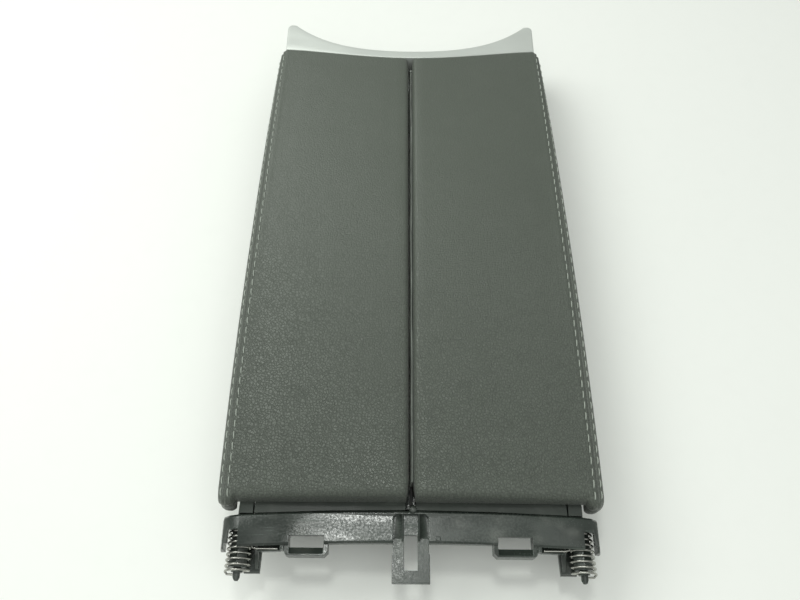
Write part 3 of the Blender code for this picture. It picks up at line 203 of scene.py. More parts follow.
class EffectLibrary:
    """Builds each shared shader effect once, as a node group."""

    def __init__(self) -> None:
        """Build all effects."""
        self.groups = {
            Effect.GRAIN: self.grain(),
            Effect.MOULD: self.mould(),
            Effect.WEAR: self.wear_and_highlight(),
            Effect.DUST: self.dust(),
            Effect.SCUFFS: self.scuffs(),
        }

    @staticmethod
    def start(
        effect: Effect, numbers: dict[str, float], outputs: Sequence[str],
    ) -> tuple[Tree, bpy.types.Node, bpy.types.Node]:
        """Make an empty group with its sockets.

        Args:
            effect: The effect that the group holds.
            numbers: Names and first values of its number inputs.
            outputs: Names of its outputs; one named Normal is a vector.

        Returns:
            The tree, its input node and its output node.
        """
        group = bpy.data.node_groups.new(effect.value, "ShaderNodeTree")
        group.interface.new_socket("Vector", in_out="INPUT", socket_type="NodeSocketVector")
        for name, value in numbers.items():
            made = group.interface.new_socket(name, in_out="INPUT", socket_type="NodeSocketFloat")
            made.default_value = value
        for name in outputs:
            kind = "NodeSocketVector" if name == "Normal" else "NodeSocketFloat"
            group.interface.new_socket(name, in_out="OUTPUT", socket_type=kind)
        tree = Tree(group)
        return tree, tree.add("NodeGroupInput"), tree.add("NodeGroupOutput")

    def grain(self) -> bpy.types.NodeTree:
        """Pebbles of leather with finer wrinkles between them."""
        tree, given, out = self.start(Effect.GRAIN, {"Cells": 600.0}, ("Height", "Crease"))
        place = tree.scaled(given.outputs["Vector"], given.outputs["Cells"])
        bend = tree.add("ShaderNodeTexNoise", {"Vector": place, "Scale": 0.55, "Detail": 2.0})
        shift = tree.vector("SUBTRACT", bend.outputs["Color"], (0.5, 0.5, 0.5))
        place = tree.vector("ADD", place, tree.scaled(shift, 0.9))
        pebble = tree.step(tree.cells(place, 1.0), 0.0, 0.17)
        small = tree.step(tree.cells(place, 2.1), 0.0, 0.12)
        fold = tree.step(tree.cells(place, 0.37), 0.0, 0.09, 1.0, 0.0)
        patch = tree.step(tree.noise(place, 0.12), 0.35, 0.7)
        fold = tree.math("MULTIPLY", fold, patch)
        height = tree.math("MULTIPLY_ADD", small, 0.22, tree.math("MULTIPLY", pebble, 0.6))
        height = tree.math("MULTIPLY_ADD", fold, -0.5, height)
        tree.feed(out.inputs["Height"], height)
        tree.feed(out.inputs["Crease"], tree.math("MAXIMUM", fold, tree.math("SUBTRACT", 1.0, pebble)))
        return tree.tree

    def mould(self) -> bpy.types.NodeTree:
        """Fine spark-eroded texture of moulded plastic, with broad flow marks."""
        tree, given, out = self.start(Effect.MOULD, {"Grains": 2200.0}, ("Height", "Flow"))
        vector = given.outputs["Vector"]
        place = tree.scaled(vector, given.outputs["Grains"])
        pits = tree.step(tree.cells(place, 1.0, "F1"), 0.15, 0.75)
        fine = tree.noise(place, 0.8, 4.0)
        tree.feed(out.inputs["Height"], tree.math("MULTIPLY_ADD", pits, 0.5, fine))
        flow = tree.noise(tree.stretched(vector, (18.0, 55.0, 55.0), 0.3), 1.0, 4.0)
        tree.feed(out.inputs["Flow"], tree.step(flow, 0.3, 0.72))
        return tree.tree

    def wear_and_highlight(self) -> bpy.types.NodeTree:
        """Rubbed edges with a painted edge highlight, and the normal of slightly rounded edges."""
        tree, given, out = self.start(Effect.WEAR, {"Radius": 0.0006}, ("Mask", "Normal"))
        bevel = tree.add("ShaderNodeBevel", {"Radius": given.outputs["Radius"]}, samples=6)
        facing = tree.add("ShaderNodeNewGeometry").outputs["Normal"]
        dot = tree.add("ShaderNodeVectorMath", {0: bevel.outputs[0], 1: facing}, operation="DOT_PRODUCT")
        edge = tree.step(dot.outputs["Value"], 0.80, 0.985, 1.0, 0.0)
        patch = tree.step(tree.noise(given.outputs["Vector"], 160.0, 5.0), 0.42, 0.62)
        tree.feed(out.inputs["Mask"], tree.math("MULTIPLY", edge, patch))
        tree.feed(out.inputs["Normal"], bevel.outputs[0])
        return tree.tree

    def dust(self) -> bpy.types.NodeTree:
        """Dust and lint that settle on faces that look up."""
        tree, given, out = self.start(Effect.DUST, {"Amount": 0.3}, ("Mask",))
        vector = given.outputs["Vector"]
        facing = tree.add("ShaderNodeNewGeometry").outputs["Normal"]
        up = tree.add("ShaderNodeSeparateXYZ", {0: facing}).outputs["Z"]
        up = tree.step(up, 0.25, 0.95)
        haze = tree.step(tree.noise(vector, 70.0, 6.0), 0.45, 0.75, 0.0, 0.5)
        specks = tree.step(tree.cells(vector, 190.0, "F1"), 0.03, 0.09, 1.0, 0.0)
        few = tree.step(tree.noise(vector, 45.0, 1.0), 0.56, 0.66)
        mask = tree.math("MULTIPLY_ADD", specks, few, haze)
        mask = tree.math("MULTIPLY", tree.math("MULTIPLY", mask, up), given.outputs["Amount"])
        tree.feed(out.inputs["Mask"], mask)
        return tree.tree

    def scuffs(self) -> bpy.types.NodeTree:
        """Thin scratches in three directions."""
        tree, given, out = self.start(Effect.SCUFFS, {"Amount": 0.5}, ("Mask",))
        vector = given.outputs["Vector"]
        total: object = 0.0
        for turn, across in ((0.5, 520.0), (-0.9, 640.0), (1.7, 450.0)):
            place = tree.stretched(vector, (24.0, across, 60.0), turn)
            line = tree.step(tree.noise(place, 1.0, 2.0), 0.66, 0.70)
            total = tree.math("MAXIMUM", line, total)
        patch = tree.step(tree.noise(vector, 38.0), 0.46, 0.6)
        mask = tree.math("MULTIPLY", tree.math("MULTIPLY", total, patch), given.outputs["Amount"])
        tree.feed(out.inputs["Mask"], mask)
        return tree.tree

    def place(self, tree: Tree, effect: Effect, place: Socket, **numbers: float) -> bpy.types.Node:
        """Put an effect's group into a material.

        Args:
            tree: The material's tree.
            effect: Which effect.
            place: Coordinates on the surface, in metres.
            numbers: The group's own number inputs.

        Returns:
            The group node.
        """
        node = tree.add("ShaderNodeGroup", node_tree=self.groups[effect])
        tree.feed(node.inputs["Vector"], place)
        for name, value in numbers.items():
            tree.feed(node.inputs[name], value)
        return node


@dataclass(frozen=True)
class Finish:
    """What every finish has: a name, a colour and how it shines."""

    name: str
    colour: tuple[float, float, float]
    roughness: float = 0.5
    metallic: float = 0.0

    def start(self) -> tuple[bpy.types.Material, Tree, bpy.types.Node, Socket]:
        """Make the material with its Principled BSDF.

        Returns:
            The material, its tree, the shader node and the object coordinates.
        """
        material = bpy.data.materials.new(self.name)
        material.use_nodes = True
        tree = Tree(material.node_tree)
        shader = material.node_tree.nodes["Principled BSDF"]
        shader.inputs["Base Color"].default_value = (*self.colour, 1.0)
        shader.inputs["Roughness"].default_value = self.roughness
        shader.inputs["Metallic"].default_value = self.metallic
        place = tree.add("ShaderNodeTexCoord").outputs["Object"]
        return material, tree, shader, place

    def shade(self, factor: float) -> tuple[float, float, float, float]:
        """The finish's colour, made lighter or darker by a factor."""
        return (*(min(c * factor, 1.0) for c in self.colour), 1.0)


@dataclass(frozen=True)
class Leather(Finish):
    """Grained hide with a soft sheen, painted shade in its creases, strongest at the rear, and less relief
    far away.
    """

    cells: float = 540.0
    depth: float = 0.00042
    dust: float = 0.02
    strong_y: float = -0.16
    weak_y: float = 0.12

    def make(self, effects: EffectLibrary) -> bpy.types.Material:
        """Build the material."""
        material, tree, shader, place = self.start()
        grain = effects.place(tree, Effect.GRAIN, place, Cells=self.cells)
        dust = effects.place(tree, Effect.DUST, place, Amount=self.dust)
        crease = grain.outputs["Crease"]
        tone = tree.step(tree.noise(place, 14.0, 3.0), 0.25, 0.75)
        colour = tree.mix(tone, self.shade(0.98), self.shade(1.02))
        along = tree.add("ShaderNodeSeparateXYZ", {0: place}).outputs["Y"]
        # Painted shade in the grain's creases, strongest at the rear and fading towards the front.
        crease_shade_strength = tree.step(along, self.strong_y, self.weak_y, 0.64, 0.14)
        colour = tree.mix(tree.math("MULTIPLY", crease, crease_shade_strength), colour, self.shade(0.5))
        colour = tree.mix(dust.outputs["Mask"], colour, (0.42, 0.43, 0.40, 1.0))
        tree.feed(shader.inputs["Base Color"], colour)
        rough = tree.step(crease, 0.0, 1.0, self.roughness - 0.05, self.roughness + 0.16)
        tree.feed(shader.inputs["Roughness"], rough)
        bump = tree.add("ShaderNodeBump", {
            "Height": grain.outputs["Height"], "Distance": self.depth,
            "Strength": tree.step(along, self.strong_y, self.weak_y, 0.85, 0.28)})
        tree.feed(shader.inputs["Normal"], bump.outputs["Normal"])
        shader.inputs["Specular IOR Level"].default_value = 0.55
        shader.inputs["Sheen Weight"].default_value = 0.12
        shader.inputs["Sheen Roughness"].default_value = 0.45
        return material


@dataclass(frozen=True)
class MouldedPlastic(Finish):
    """Moulded plastic with fine texture, flow marks, edges lightened by rubbing and a painted highlight,
    and dust.
    """

    grains: float = 2200.0
    depth: float = 0.00004
    wear_and_highlight: float = 0.35
    dust: float = 0.3
    scuffs: float = 0.3
    edge: float = 0.0005
    mottle: float = 0.0

    def make(self, effects: EffectLibrary) -> bpy.types.Material:
        """Build the material."""
        material, tree, shader, place = self.start()
        mould = effects.place(tree, Effect.MOULD, place, Grains=self.grains)
        wear_and_highlight = effects.place(tree, Effect.WEAR, place, Radius=self.edge)
        dust = effects.place(tree, Effect.DUST, place, Amount=self.dust)
        scuffs = effects.place(tree, Effect.SCUFFS, place, Amount=self.scuffs)
        colour = tree.mix(mould.outputs["Flow"], self.shade(0.75), self.shade(1.3))
        # Edges lightened: partly rubbing, partly a painted highlight along the edges.
        worn_and_highlit = tree.math("MULTIPLY", wear_and_highlight.outputs["Mask"], self.wear_and_highlight)
        colour = tree.mix(worn_and_highlit, colour, self.shade(4.2))
        colour = tree.mix(tree.math("MULTIPLY", scuffs.outputs["Mask"], 0.6), colour, self.shade(3.2))
        colour = tree.mix(dust.outputs["Mask"], colour, (0.33, 0.34, 0.31, 1.0))
        tree.feed(shader.inputs["Base Color"], colour)
        rough = tree.step(mould.outputs["Flow"], 0.0, 1.0, self.roughness - 0.07, self.roughness + 0.08)
        rough = tree.math("MULTIPLY_ADD", scuffs.outputs["Mask"], 0.2, rough)
        patch = tree.step(tree.noise(place, 760.0, 5.0), 0.36, 0.68)
        rough = tree.math("MULTIPLY_ADD", patch, 0.16 * self.mottle, rough)
        tree.feed(shader.inputs["Roughness"], rough)
        waves = tree.add("ShaderNodeBump", {
            "Height": tree.noise(place, 980.0, 3.0), "Distance": 0.00006 * self.mottle, "Strength": 0.5,
            "Normal": wear_and_highlight.outputs["Normal"]})
        bump = tree.add("ShaderNodeBump", {
            "Height": mould.outputs["Height"], "Distance": self.depth, "Strength": 0.6,
            "Normal": waves.outputs["Normal"]})
        tree.feed(shader.inputs["Normal"], bump.outputs["Normal"])
        return material


@dataclass(frozen=True)
class SatinMetal(Finish):
    """Satin silver, or bright wire: fine texture, edges lightened by rubbing and a painted highlight, and a
    few scuffs.
    """

    metallic: float = 1.0
    grains: float = 3600.0
    depth: float = 0.000012
    wear_and_highlight: float = 0.4
    scuffs: float = 0.2
    edge: float = 0.0004

    def make(self, effects: EffectLibrary) -> bpy.types.Material:
        """Build the material."""
        material, tree, shader, place = self.start()
        mould = effects.place(tree, Effect.MOULD, place, Grains=self.grains)
        wear_and_highlight = effects.place(tree, Effect.WEAR, place, Radius=self.edge)
        scuffs = effects.place(tree, Effect.SCUFFS, place, Amount=self.scuffs)
        colour = tree.mix(mould.outputs["Flow"], self.shade(0.96), self.shade(1.03))
        # Edges lightened: partly rubbing, partly a painted highlight along the edges.
        colour = tree.mix(tree.math("MULTIPLY", wear_and_highlight.outputs["Mask"], self.wear_and_highlight), colour, self.shade(1.35))
        tree.feed(shader.inputs["Base Color"], colour)
        rough = tree.step(mould.outputs["Flow"], 0.0, 1.0, self.roughness - 0.03, self.roughness + 0.04)
        rough = tree.math("MULTIPLY_ADD", scuffs.outputs["Mask"], 0.15, rough)
        tree.feed(shader.inputs["Roughness"], rough)
        bump = tree.add("ShaderNodeBump", {
            "Height": mould.outputs["Height"], "Distance": self.depth, "Strength": 0.5,
            "Normal": wear_and_highlight.outputs["Normal"]})
        tree.feed(shader.inputs["Normal"], bump.outputs["Normal"])
        return material


@dataclass(frozen=True)
class Thread(Finish):
    """Twisted sewing thread."""

    def make(self, effects: EffectLibrary) -> bpy.types.Material:
        """Build the material."""
        material, tree, shader, place = self.start()
        dust = effects.place(tree, Effect.DUST, place, Amount=0.1)
        twist = tree.add("ShaderNodeTexWave", {
            "Vector": tree.stretched(place, (1.0, 1.0, 1.0), 0.6), "Scale": 420.0, "Distortion": 1.5})
        strand = twist.outputs["Fac"]
        tone = tree.step(tree.noise(place, 120.0), 0.3, 0.7, 0.0, 0.6)
        colour = tree.mix(strand, self.shade(0.72), self.shade(1.0))
        colour = tree.mix(tone, colour, self.shade(0.8))
        colour = tree.mix(dust.outputs["Mask"], colour, self.shade(1.2))
        tree.feed(shader.inputs["Base Color"], colour)
        bump = tree.add("ShaderNodeBump", {"Height": strand, "Distance": 0.00012, "Strength": 0.6})
        tree.feed(shader.inputs["Normal"], bump.outputs["Normal"])
        shader.inputs["Sheen Weight"].default_value = 0.2
        return material


@dataclass(frozen=True)
class Tabletop(Finish):
    """Pale floor that keeps the object's shadow."""

    def make(self, effects: EffectLibrary) -> bpy.types.Material:
        """Build the material."""
        material, tree, shader, place = self.start()
        dust = effects.place(tree, Effect.DUST, place, Amount=0.05)
        tone = tree.step(tree.noise(place, 3.0), 0.3, 0.7)
        colour = tree.mix(tone, self.shade(0.99), self.shade(1.0))
        colour = tree.mix(dust.outputs["Mask"], colour, self.shade(0.7))
        tree.feed(shader.inputs["Base Color"], colour)
        return material


class Workshop:
    """Holds the finishes, made once each."""

    FINISHES = (
        Leather("grained leather", (0.081, 0.094, 0.076), 0.37),
        Leather("side leather", (0.086, 0.098, 0.081), 0.44, cells=640.0, depth=0.00016),
        MouldedPlastic(
            "carrier plastic", (0.033, 0.041, 0.035), 0.17, depth=0.000007, wear_and_highlight=1.0, scuffs=0.6,
            edge=0.0006, mottle=1.0),
        MouldedPlastic(
            "shell plastic", (0.026, 0.034, 0.027), 0.50, grains=1500.0, depth=0.00007, dust=0.1),
        MouldedPlastic("pale plastic", (0.52, 0.53, 0.48), 0.45, dust=0.15, scuffs=0.1),
        MouldedPlastic("soft rubber", (0.035, 0.036, 0.035), 0.72, grains=900.0, wear_and_highlight=0.1),
        # Near-black finish of the sheet that paints shade into the rear end of the gap.
        MouldedPlastic("painted shade black", (0.010, 0.011, 0.010), 0.8, grains=900.0, wear_and_highlight=0.0, dust=0.0),
        MouldedPlastic("grey rubber", (0.23, 0.25, 0.225), 0.6, grains=900.0, wear_and_highlight=0.1, dust=0.1),
        SatinMetal("satin silver", (0.60, 0.63, 0.595), 0.42, metallic=0.36, wear_and_highlight=0.15),
        SatinMetal("spring wire", (0.38, 0.38, 0.35), 0.24, scuffs=0.4),
        Thread("pale thread", (0.40, 0.435, 0.385), 0.62),
        Tabletop("pale tabletop", (0.88, 0.893, 0.86), 0.6),
    )

    def __init__(self) -> None:
        """Make every finish."""
        effects = EffectLibrary()
        self.made = {finish.name: finish.make(effects) for finish in self.FINISHES}

    def dress(self, piece: bpy.types.Object, finish: str) -> None:
        """Give a piece one finish in place of what it has."""
        piece.data.materials.clear()
        piece.data.materials.append(self.made[finish])

    def dress_node(self, node: str, finish: str) -> None:
        """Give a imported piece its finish."""
        self.dress(frame["nodes"][node], finish)
        LOG.info("%s has the finish %s", node, finish)


def round_off(distance: float, radius: float) -> float:
    """Drop of a rounded edge at a distance inside its face."""
    if distance >= radius:
        return 0.0
    distance = max(distance, 0.0)
    return radius - math.sqrt(max(radius * radius - (radius - distance) ** 2, 0.0))


def arc_steps(radius: float, count: int) -> list[float]:
    """Distances from a face at which a rounded edge gets its points."""
    return [radius * (1 - math.cos(math.pi / 2 * k / count)) for k in range(count + 1)]


def ripple(distance: float, height: float, width: float) -> float:
    """Smooth rise or dip at a distance from its middle."""
    return height * math.exp(-((distance / width) ** 2))


def spread(low: float, high: float, count: int) -> list[float]:
    """Evenly spaced values from low to high."""
    return [low + (high - low) * k / (count - 1) for k in range(count)]


def mesh_object(name: str, verts: Iterable[Point], faces: Iterable[Sequence[int]]) -> bpy.types.Object:
    """Object from points and faces, with its faces turned outwards and shaded smooth.

    Args:
        name: The piece's name.
        verts: Its points.
        faces: Indices of each face's points.

    Returns:
        The new object, linked to the scene.
    """
    mesh = bpy.data.meshes.new(name)
    mesh.from_pydata(list(verts), [], list(faces))
    bm = bmesh.new()
    bm.from_mesh(mesh)
    bmesh.ops.recalc_face_normals(bm, faces=bm.faces)
    bm.to_mesh(mesh)
    bm.free()
    mesh.shade_smooth()
    mesh.set_sharp_from_angle(angle=math.radians(50))
    obj = bpy.data.objects.new(name, mesh)
    bpy.context.scene.collection.objects.link(obj)
    return obj


def grid_solid(
    name: str, top: Grid, under: Grid, wall_steps: int = 1, bulge: float = 0.0,
) -> bpy.types.Object:
    """Closed solid between two grids of points, with walls that may bulge a little.

    Args:
        name: The piece's name.
        top: Upper points, row by row.
        under: Lower points with the same x and y order.
        wall_steps: Faces from top to bottom of the walls.
        bulge: How far the walls' middle stands out.

    Returns:
        The new object.
    """
    rows = len(top)
    cols = len(top[0])
    verts = [p for line in top for p in line] + [p for line in under for p in line]
    half = rows * cols
    faces = []
    for i in range(rows - 1):
        for j in range(cols - 1):
            a = i * cols + j
            faces.append((a, a + 1, a + cols + 1, a + cols))
            faces.append((half + a, half + a + cols, half + a + cols + 1, half + a + 1))
    loop = list(range(cols))
    loop += [i * cols + cols - 1 for i in range(1, rows)]
    loop += [(rows - 1) * cols + j for j in range(cols - 2, -1, -1)]
    loop += [i * cols for i in range(rows - 2, 0, -1)]
    rings = [loop]
    for step in range(1, wall_steps):
        share = step / wall_steps
        ring = []
        for k, index in enumerate(loop):
            high = Vector(verts[index])
            low = Vector(verts[half + index])
            along = Vector(verts[loop[(k + 1) % len(loop)]]) - Vector(verts[loop[k - 1]])
            out = Vector((along.y, -along.x, 0.0))
            out = out.normalized() if out.length > 1e-9 else Vector()
            point = high.lerp(low, share) + out * (bulge * math.sin(math.pi * share))
            ring.append(len(verts))
            verts.append(tuple(point))
        rings.append(ring)
    rings.append([half + index for index in loop])
    for upper, lower in zip(rings, rings[1:]):
        for k in range(len(loop)):
            n = (k + 1) % len(loop)
            faces.append((upper[k], lower[k], lower[n], upper[n]))
    return mesh_object(name, verts, faces)


def slab(name: str, corners: Sequence[tuple[float, float]], rear: float, front: float) -> bpy.types.Object:
    """Block with a four-cornered section in x and z, from one y to another."""
    verts = [(x, y, z) for y in (rear, front) for x, z in corners]
    faces = [(0, 1, 2, 3), (4, 5, 6, 7), (0, 1, 5, 4), (1, 2, 6, 5), (2, 3, 7, 6), (3, 0, 4, 7)]
    return mesh_object(name, verts, faces)


def tube(name: str, path: Sequence[Vector], radii: Sequence[float], sides: int) -> bpy.types.Object:
    """Round wire along a path, with closed ends.

    Args:
        name: The piece's name.
        path: Points of the wire's middle.
        radii: Radius at each point.
        sides: Faces around the wire.

    Returns:
        The new object.
    """
    verts, faces = tube_parts(path, radii, sides, 0)
    return mesh_object(name, verts, faces)


def tube_parts(
    path: Sequence[Vector], radii: Sequence[float], sides: int, first: int,
) -> tuple[list[Point], list[tuple[int, ...]]]:
    """Points and faces of one round wire; first is the index of its first point."""
    verts = []
    faces = []
    normal = (path[1] - path[0]).orthogonal().normalized()
    for i, centre in enumerate(path):
        tangent = (path[min(i + 1, len(path) - 1)] - path[max(i - 1, 0)]).normalized()
        normal = (normal - tangent * normal.dot(tangent)).normalized()
        other = tangent.cross(normal)
        for k in range(sides):
            angle = 2 * math.pi * k / sides
            verts.append(tuple(centre + radii[i] * (normal * math.cos(angle) + other * math.sin(angle))))
    for i in range(len(path) - 1):
        for k in range(sides):
            n = (k + 1) % sides
            a = first + i * sides
            faces.append((a + k, a + n, a + sides + n, a + sides + k))
    faces.append(tuple(first + k for k in range(sides)))
    last = first + (len(path) - 1) * sides
    faces.append(tuple(last + k for k in reversed(range(sides))))
    return verts, faces


def twin(node: str, name: str, bevel: float = 0.0) -> bpy.types.Object:
    """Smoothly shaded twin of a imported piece, with its form kept.

    Args:
        node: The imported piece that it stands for.
        name: The twin's name.
        bevel: Width of the rounding on its sharp edges.

    Returns:
        The twin, which rides on the same body.
    """
    source = frame["nodes"][node]
    bm = bmesh.new()
    bm.from_mesh(source.data)
    bmesh.ops.remove_doubles(bm, verts=bm.verts, dist=0.000002)
    bmesh.ops.dissolve_limit(bm, angle_limit=math.radians(0.5), verts=bm.verts, edges=bm.edges)
    mesh = bpy.data.meshes.new(name)
    bm.to_mesh(mesh)
    bm.free()
    mesh.shade_smooth()
    mesh.set_sharp_from_angle(angle=math.radians(34))
    obj = bpy.data.objects.new(name, mesh)
    bpy.context.scene.collection.objects.link(obj)
    if bevel:
        modifier = obj.modifiers.new("edges", "BEVEL")
        modifier.width = bevel
        modifier.segments = 2
        modifier.limit_method = "ANGLE"
        modifier.angle_limit = math.radians(40)
        modifier.harden_normals = True
    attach(obj, source["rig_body"])
    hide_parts(node)
    return obj


def subtract(body: bpy.types.Object, tool: bpy.types.Object) -> None:
    """Cut a tool's form out of a body, and use the tool up."""
    modifier = body.modifiers.new("cut", "BOOLEAN")
    modifier.operation = "DIFFERENCE"
    modifier.solver = "EXACT"
    modifier.object = tool
    depsgraph = bpy.context.evaluated_depsgraph_get()
    mesh = bpy.data.meshes.new_from_object(body.evaluated_get(depsgraph))
    body.modifiers.clear()
    body.data = mesh
    bpy.data.objects.remove(tool)


@dataclass(frozen=True)
class LidForm:
    """Outer form of one lid's leather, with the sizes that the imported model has."""

    half_width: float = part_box("right_side_band")[1].x
    waist: float = 0.0123
    rear: float = -0.1671
    front: float = 0.1708
    rear_bow: float = 0.0005
    front_bow: float = 0.0262
    front_curl: float = 0.0107
    gap_half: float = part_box("right_top_cover")[0].x + 0.0003
    corner: float = 0.006
    top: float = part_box("right_top_cover")[1].z
    crown: float = 0.008
    base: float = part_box("right_top_cover")[0].z
    outer_radius: float = 0.007
    inner_radius: float = 0.003
    end_radius: float = 0.005
    front_radius: float = 0.0018
    rail_width: float = 0.010
    rail_low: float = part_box("right_side_band")[0].z
    rail_radius: float = 0.0034
    lobe_radius: float = 0.0045
    lobe_out: float = 0.0035
    lobe_width: float = 0.0104
    lobe_round: float = 0.0036
    row_rear: float = 0.0072
    row_front: float = 0.0036
    stitch_away: float = 0.0023
    shoulder: float = 0.0013
    shoulder_width: float = 0.0085
    funnel: float = 0.0003
    rear_funnel: float = 0.0013
    mouth: float = 0.011

    @property
    def length(self) -> float:
        """Length of the lid on its gap side."""
        return self.front - self.rear

    def outer_x(self, share: float) -> float:
        """Outer face's x at a share of the length."""
        return self.half_width - self.waist * share * share

    def crown_z(self, x: float) -> float:
        """Height of the crowned top over x."""
        return self.top - self.crown * (x / self.half_width) ** 2

    def y_at(self, x: float, share: float) -> float:
        """Y of a point between the two bowed ends, with rounded outer corners."""
        u = (x / self.half_width) ** 2
        rounding = round_off(self.outer_x(share) - x, self.corner)
        low = self.rear - self.rear_bow * u + rounding - self.lobe(x)
        high = self.front_line(x) - rounding
        return low + share * (high - low)

    def front_line(self, x: float) -> float:
        """Bowed front edge over x."""
        u = (x / self.half_width) ** 2
        return self.front + self.front_bow * u - self.front_curl * u * u

    def lobe(self, x: float) -> float:
        """How far the rail's rear end stands out behind the pad."""
        share = min(max((x - self.half_width + self.lobe_width) / self.lobe_round, 0.0), 1.0)
        return self.lobe_out * math.sqrt(1 - (1 - share) ** 2)

    def end_distance(self, share: float) -> float:
        """Distance to the nearer end."""
        return min(share, 1 - share) * self.length

    def end_drop(self, share: float) -> float:
        """Drop of the skin over the rounded rear end and the tighter front end."""
        rear = round_off(share * self.length, self.end_radius)
        return rear + round_off((1 - share) * self.length, self.front_radius)

    def seam_arc(self, share: float) -> float:
        """Place of the seam, along the skin outwards from where the outer edge starts to round."""
        inset = self.row_rear + (self.row_front - self.row_rear) * share ** 4
        row = self.outer_radius * math.asin(max(1 - inset / self.outer_radius, -1.0))
        return row + self.stitch_away

    def skin(self, share: float, arc: float, lift: float = 0.0) -> Point:
        """Point of the skin over the outer edge.

        Args:
            share: Share of the length, 0 at the rear.
            arc: Distance along the skin from where the outer edge starts to round.
            lift: Distance out of the skin.

        Returns:
            The point, on the right lid.
        """
        radius = self.outer_radius
        angle = min(max(arc / radius, 0.0), math.pi / 2)
        x = self.outer_x(share) - radius + min(arc, 0.0) + radius * math.sin(angle)
        drop = radius * (1 - math.cos(angle)) + max(arc - radius * math.pi / 2, 0.0)
        near = max(1 - (x - self.gap_half) / self.shoulder_width, 0.0)
        drop += self.shoulder * near * near
        slope = 2 * self.crown * x / self.half_width ** 2
        tilt = min(angle + slope, math.pi / 2)
        z = self.crown_z(x) - drop - self.end_drop(share)
        y = self.y_at(x, share)
        front_mouth = max(1 - (1 - share) * self.length / self.mouth, 0.0) ** 2
        rear_mouth = max(1 - share * self.length / self.mouth, 0.0) ** 2
        x += (self.funnel * front_mouth + self.rear_funnel * rear_mouth) * near
        return (x + lift * math.sin(tilt), y, z + lift * math.cos(tilt))

    def seam_lift(self, away: float) -> float:
        """How far the skin stands in or out at a distance from the seam."""
        groove = ripple(away, height=-0.0007, width=0.0006)
        pull = ripple(away - self.stitch_away, height=-0.00018, width=0.0006)
        puff = ripple(away - 0.0015, height=0.00022, width=0.0007)
        puff += ripple(away - 0.0045, height=0.00020, width=0.0014)
        return groove + pull + puff

    def shares(self, count: int, rim: float = 0.0) -> list[float]:
        """Shares of the length for a grid's rows, closer together at the ends."""
        rear = arc_steps(self.end_radius, 7)
        front = arc_steps(self.front_radius, 6)
        if rim:
            rear = sorted(rear + [rim, rim + HAIR])
            front = sorted(front + [rim, rim + HAIR])
        rear = [s / self.length for s in rear]
        front = [1 - s / self.length for s in reversed(front)]
        return rear + spread(rear[-1], front[0], count)[1:-1] + front


